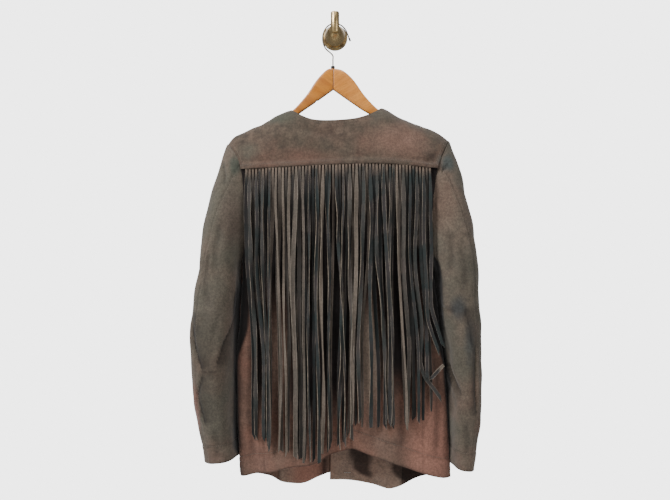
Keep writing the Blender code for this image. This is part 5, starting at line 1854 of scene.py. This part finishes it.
    def add_strand(self, bm: BMesh, line: Array, turn: Array,
                   look: StrandLook, layers: tuple[Any, ...]) -> None:
        """Adds one strand.

        Args:
            bm: mesh of the fringe.
            line: middle points.
            turn: turn about the upright at each.
            look: its sizes and tones.
            layers: the tone, shade, root and edge layers.
        """
        tone, shade, root, edge = layers
        reach = line_reach(line)
        tangent = np.gradient(line, axis=0)
        tangent /= np.linalg.norm(tangent, axis=1)[:, None]
        level = np.array((1.0, 0.0, 0.0)) - tangent * tangent[:, :1]
        level /= np.linalg.norm(level, axis=1)[:, None]
        depth = np.cross(tangent, level)
        side = level * np.cos(turn)[:, None] + depth * np.sin(turn)[:, None]
        out = np.cross(side, tangent)
        made = bmesh.ops.create_grid(bm, x_segments=self.columns, y_segments=self.steps, size=1.0)
        full = reach[-1]
        for vert in made["verts"]:
            across, share = float(vert.co.x), 0.5 * (float(vert.co.y) + 1.0)
            rim = max(0.0, (abs(across) - 0.7) / 0.3)
            across = float(signed_power(np.array(across), 0.45))
            end = full - abs(look.slant) * 0.5 + 0.5 * look.slant * across
            s = share * end
            tail = max(0.0, (s - (full - 0.03)) / 0.03)
            place, sideways, outward = (Vector(on_line(s, reach, each))
                                        for each in (line, side, out))
            grown = float(smooth(s / 0.06))
            half = 0.5 * (self.root_width + (look.wide - self.root_width) * grown)
            half *= 1.0 - look.point * tail * tail
            vert.co = place + sideways * (half * across) + outward * (look.cup * across**2)
            vert[tone] = max(look.tone, look.tip_tone * float(smooth((s - full + 0.016) / 0.004)))
            # painted shadow of the strands that hang over it
            vert[shade] = look.shade * float(smooth(s / 0.03))
            vert[root] = float(bell(s / look.root))
            vert[edge] = rim


# Hanger and hook
def spin_profile(bm: BMesh, profile: Sequence[tuple[float, float]],
                 steps: int, turn: Matrix) -> None:
    """Adds a turned form to a mesh.

    Args:
        bm: the mesh.
        profile: pairs of height along the axis and radius, from axis to axis.
        steps: faces round it.
        turn: where the form goes, from an upright axis at the origin.
    """
    verts = [bm.verts.new((radius, 0.0, height)) for height, radius in profile]
    edges = [bm.edges.new(pair) for pair in zip(verts[:-1], verts[1:])]
    before = set(bm.verts) - set(verts)
    bmesh.ops.spin(bm, geom=verts + edges, cent=(0.0, 0.0, 0.0), axis=(0.0, 0.0, 1.0),
                   dvec=(0.0, 0.0, 0.0), angle=math.tau, space=Matrix.Identity(4),
                   steps=steps, use_merge=True, use_normal_flip=False, use_duplicate=False)
    made = [v for v in bm.verts if v not in before]
    bmesh.ops.remove_doubles(bm, verts=made, dist=0.00001)
    made = [v for v in bm.verts if v not in before]
    bmesh.ops.transform(bm, matrix=turn, verts=made)
    bmesh.ops.recalc_face_normals(bm, faces=list({f for v in made for f in v.link_faces}))


def wire_piece(name: str, points: Sequence[Vector], radius: float, material: Material) -> Object:
    """Round wire through the points, closed at both ends.

    Args:
        name: name of the piece.
        points: its middle line.
        radius: of the wire.
        material: its finish.

    Returns:
        The piece as a mesh.
    """
    curve = bpy.data.curves.new(name + "_line", "CURVE")
    curve.dimensions = "3D"
    curve.bevel_depth = radius
    curve.bevel_resolution = 5
    curve.resolution_u = 10
    curve.use_fill_caps = True
    line = curve.splines.new("BEZIER")
    line.bezier_points.add(len(points) - 1)
    for mark, co in zip(line.bezier_points, points):
        mark.co = co
        mark.handle_left_type = mark.handle_right_type = "AUTO"
    temp = bpy.data.objects.new(name + "_line", curve)
    bpy.context.scene.collection.objects.link(temp)
    mesh = evaluated_mesh(temp)
    bpy.data.objects.remove(temp, do_unlink=True)
    bm = bmesh.new()
    bm.from_mesh(mesh)
    bpy.data.meshes.remove(mesh)
    bmesh.ops.remove_doubles(bm, verts=bm.verts, dist=0.00001)
    bmesh.ops.recalc_face_normals(bm, faces=bm.faces)
    obj = new_piece(name, bm, (material,))
    shade_smooth(obj.data, 50.0)
    return obj


@dataclass
class Hanger:
    """Two wooden halves, the collar, the bent wire and its black tip."""

    joint_x: float = -0.0035  # joint between the two halves
    thick: float = 0.0105
    section: float = 4.0  # power of the wood's section, 2 is an ellipse
    around: int = 40
    pitch: float = 0.003
    end_round: float = 0.01
    notch: float = 0.034  # distance of the small notch from the joint
    notch_deep: float = 0.0022
    notch_wide: float = 0.0016
    wire_radius: float = 0.0014
    tip_radius: float = 0.0019
    collar: tuple[tuple[float, float], ...] = (
        (-0.0652, 0.0), (-0.0652, 0.0028), (-0.0655, 0.0036), (-0.0662, 0.0042),
        (-0.0686, 0.0042), (-0.0693, 0.004), (-0.0696, 0.0034), (-0.0696, 0.0))

    def build(self) -> None:
        """Builds every piece of the hanger."""
        self.build_half(Hand.LEFT, HANGER_LEFT, WOOD_DARK.build())
        self.build_half(Hand.RIGHT, HANGER_RIGHT, WOOD_PALE.build())
        bm = bmesh.new()
        spin_profile(bm, self.collar, 48, Matrix.Translation((WIRE[0][0], BEHIND, 0.0)))
        black = DULL_BLACK.build()
        collar = new_piece("hanger_collar_ring", bm, (black,))
        shade_smooth(collar.data, TURNED_SHARP)
        dress(collar, "hanger_collar")
        line = [Vector((x, BEHIND, z)) for x, z in WIRE]
        wire = wire_piece("hanger_wire_bent", line, self.wire_radius, WIRE_STEEL.build())
        dress(wire, "hanger_wire")
        way = (line[-1] - line[-2]).normalized()
        tip = [line[-1] + way * (SEAM + TIP_LENGTH * k / 2.0) for k in range(3)]
        cap = wire_piece("wire_tip_cap", tip, self.tip_radius, black)
        dress(cap, "wire_tip")

    def build_half(self, hand: Hand, table: Table, finish: Material) -> None:
        """One wooden arm as rings of a rounded section, closed at both ends."""
        span = float(table.rows[-1, 0])
        steps = int(span / self.pitch)
        bm = bmesh.new()
        rings = []
        shade = bm.verts.layers.float.new("shade")
        cut = ((0.0, 0.8, 1.0), (0.0006, 0.93, 0.7), (0.0013, 1.0, 0.0))
        plain = ((span * (i + 1) / steps, 1.0, 0.0) for i in range(steps))
        for d, shallow, dark in (*cut, *plain):
            made = bmesh.ops.create_circle(bm, segments=self.around, radius=1.0)
            top, low = float(table.at("top", d)), float(table.at("bottom", d))
            left = min(1.0, (span - d) / self.end_round)
            close = max(0.15, math.sqrt(1.0 - (1.0 - left) ** 2))
            dent = self.notch_deep * float(bell((d - self.notch) / self.notch_wide))
            dent = dent if hand is Hand.LEFT else 0.0
            for vert in made["verts"]:
                turn = math.atan2(vert.co.y, vert.co.x)
                c = float(signed_power(np.array(math.cos(turn)), 2.0 / self.section))
                s = float(signed_power(np.array(math.sin(turn)), 2.0 / self.section))
                lift = dent * max(0.0, -s)
                vert.co = (self.joint_x + hand.value * d,
                           BEHIND + 0.5 * self.thick * close * shallow * c,
                           0.5 * (top + low) + 0.5 * (top - low) * close * s + lift)
                # shade attribute: the joint's dark line, and painted shade on the underside
                vert[shade] = max(dark, float(smooth(np.array((-s - 0.93) / 0.05))))
            rings.append(made["verts"])
        for a, b in zip(rings[:-1], rings[1:]):
            edges = [e for ring in (a, b) for e in {e for v in ring for e in v.link_edges
                                                    if e.other_vert(v) in ring}]
            bmesh.ops.bridge_loops(bm, edges=edges)
        bmesh.ops.contextual_create(bm, geom=rings[0])
        bmesh.ops.contextual_create(bm, geom=rings[-1])
        bmesh.ops.recalc_face_normals(bm, faces=bm.faces)
        obj = new_piece("hanger_" + hand.word + "_wood", bm, (finish,))
        shade_smooth(obj.data, 40.0)
        dress(obj, "hanger_" + hand.word)


@dataclass
class WallHook:
    """Round wall plate, and the arm with its upright peg."""

    steps: int = 96
    stem_z: float = 0.002  # axis of the stem
    peg_y: float = -0.042  # axis of the upright peg

    def build(self) -> None:
        """Builds the plate and the arm."""
        out_of_wall = Matrix.Rotation(math.radians(90.0), 4, "X")
        bm = bmesh.new()
        spin_profile(bm, PLATE, self.steps, out_of_wall)
        plate = new_piece("hook_plate_brass", bm, (PLATE_BRASS.build(),))
        bm = bmesh.new()
        spin_profile(bm, STEM, self.steps, Matrix.Translation((0.0, 0.0, self.stem_z))
                     @ out_of_wall)
        spin_profile(bm, PEG, self.steps, Matrix.Translation((0.0, self.peg_y, 0.0)))
        arm = new_piece("hook_arm_brass", bm, (ARM_BRASS.build(),))
        for obj, slot in ((plate, "hook_plate"), (arm, "hook_arm")):
            shade_smooth(obj.data, TURNED_SHARP)
            dress(obj, slot)


# Studio
@dataclass
class Studio:
    """Pale floor, soft light, and the camera where the photograph was taken."""

    camera_y: float = -1.42
    camera_z: float = -0.4348
    focal_pixels: float = 690.7  # distance to the image in pixels of a frame 670 wide
    frame_pixels: float = 670.0
    sensor: float = 36.0
    floor_z: float = -1.3
    floor_half: float = 2.2
    seen: float = 4.0  # brightness of the background as the camera sees it
    ambient: float = 0.27  # brightness of the light that comes from all round

    def build(self) -> None:
        """Builds the floor, the lights, the world and the camera."""
        bm = bmesh.new()
        bmesh.ops.create_grid(bm, x_segments=2, y_segments=2, size=self.floor_half,
                              matrix=Matrix.Translation((0.0, -1.6, self.floor_z)))
        mat = bpy.data.materials.new("studio_floor")
        mat.use_nodes = True
        Board(mat.node_tree).fill(mat.node_tree.nodes["Principled BSDF"],
                                  Base_Color=(0.72, 0.72, 0.71), Roughness=0.9)
        new_piece("studio_floor", bm, (mat,))
        self.light("key", (-1.8, -1.4, 1.1), 1.0, 104.0)
        self.light("fill", (1.8, -1.8, 0.0), 1.4, 16.0)
        self.light("top", (0.3, -0.8, 1.6), 0.9, 26.0)
        self.light("back", (0.0, 1.6, 0.6), 2.0, 16.0)
        self.world()
        lens = bpy.data.cameras.new("camera")
        lens.sensor_width = self.sensor
        lens.lens = self.focal_pixels / self.frame_pixels * self.sensor
        camera = bpy.data.objects.new("camera", lens)
        camera.location = (0.0, self.camera_y, self.camera_z)
        camera.rotation_euler = (math.radians(90.0), 0.0, 0.0)
        bpy.context.scene.collection.objects.link(camera)
        bpy.context.scene.camera = camera

    def light(self, name: str, place: tuple[float, float, float], size: float,
              power: float) -> None:
        """Adds a soft square light that points at the middle of the jacket."""
        data = bpy.data.lights.new(name, "AREA")
        data.size = size
        data.energy = power
        lamp = bpy.data.objects.new(name, data)
        lamp.location = place
        aim = Vector((0.0, -0.05, -0.45)) - Vector(place)
        lamp.rotation_euler = aim.to_track_quat("-Z", "Y").to_euler()
        bpy.context.scene.collection.objects.link(lamp)

    def world(self) -> None:
        """Plain pale surroundings, brighter to the eye than as light."""
        world = bpy.data.worlds.new("studio")
        world.use_nodes = True
        board = Board(world.node_tree)
        back = board.tree.nodes["Background"]
        board.fill(back, Color=(self.ambient,) * 3)
        seen = board.node("ShaderNodeBackground", None, Color=(self.seen,) * 3)
        path = board.node("ShaderNodeLightPath")
        mixed = board.node("ShaderNodeMixShader", None, in_0=path.outputs["Is Camera Ray"],
                           in_1=back.outputs[0], in_2=seen.outputs[0])
        board.fill(board.tree.nodes["World Output"], Surface=mixed.outputs[0])
        bpy.context.scene.world = world


def main() -> None:
    """Builds the jacket, its hanger and hook, and the studio."""
    logging.basicConfig(level=logging.INFO, format="%(message)s")
    form = BodyForm()
    finishes = Finishes()
    stitches = Stitching(finishes.thread)
    Hanger().build()
    WallHook().build()
    Yoke(form, finishes.yoke, stitches).build()
    dress(stitches.build("yoke_stitches"), "back_yoke", stands_in=False)
    Backs(form, finishes.skirt, stitches).build()
    dress(stitches.build("back_stitches"), "back_left", stands_in=False)
    Fronts(form, finishes.skirt, finishes.facing, stitches).build()
    dress(stitches.build("front_stitches"), "front_left", stands_in=False)
    for hand, rings, creases, top in (
            (Hand.LEFT, SLEEVE_LEFT, LEFT_SLEEVE_CREASES, -0.2225),
            (Hand.RIGHT, SLEEVE_RIGHT, RIGHT_SLEEVE_CREASES, -0.2165)):
        shadow = LEFT_SHADOW if hand is Hand.LEFT else RIGHT_SHADOW
        Sleeve(hand, finishes.sleeve, stitches, rings, creases, top, shadow).build()
        dress(stitches.build("sleeve_stitches_" + hand.word), "under_sleeve_" + hand.word,
              stands_in=False)
    Fringe(form, finishes.strand, finishes.cut_edge).build()
    Studio().build()


if __name__ == "__main__":
    main()
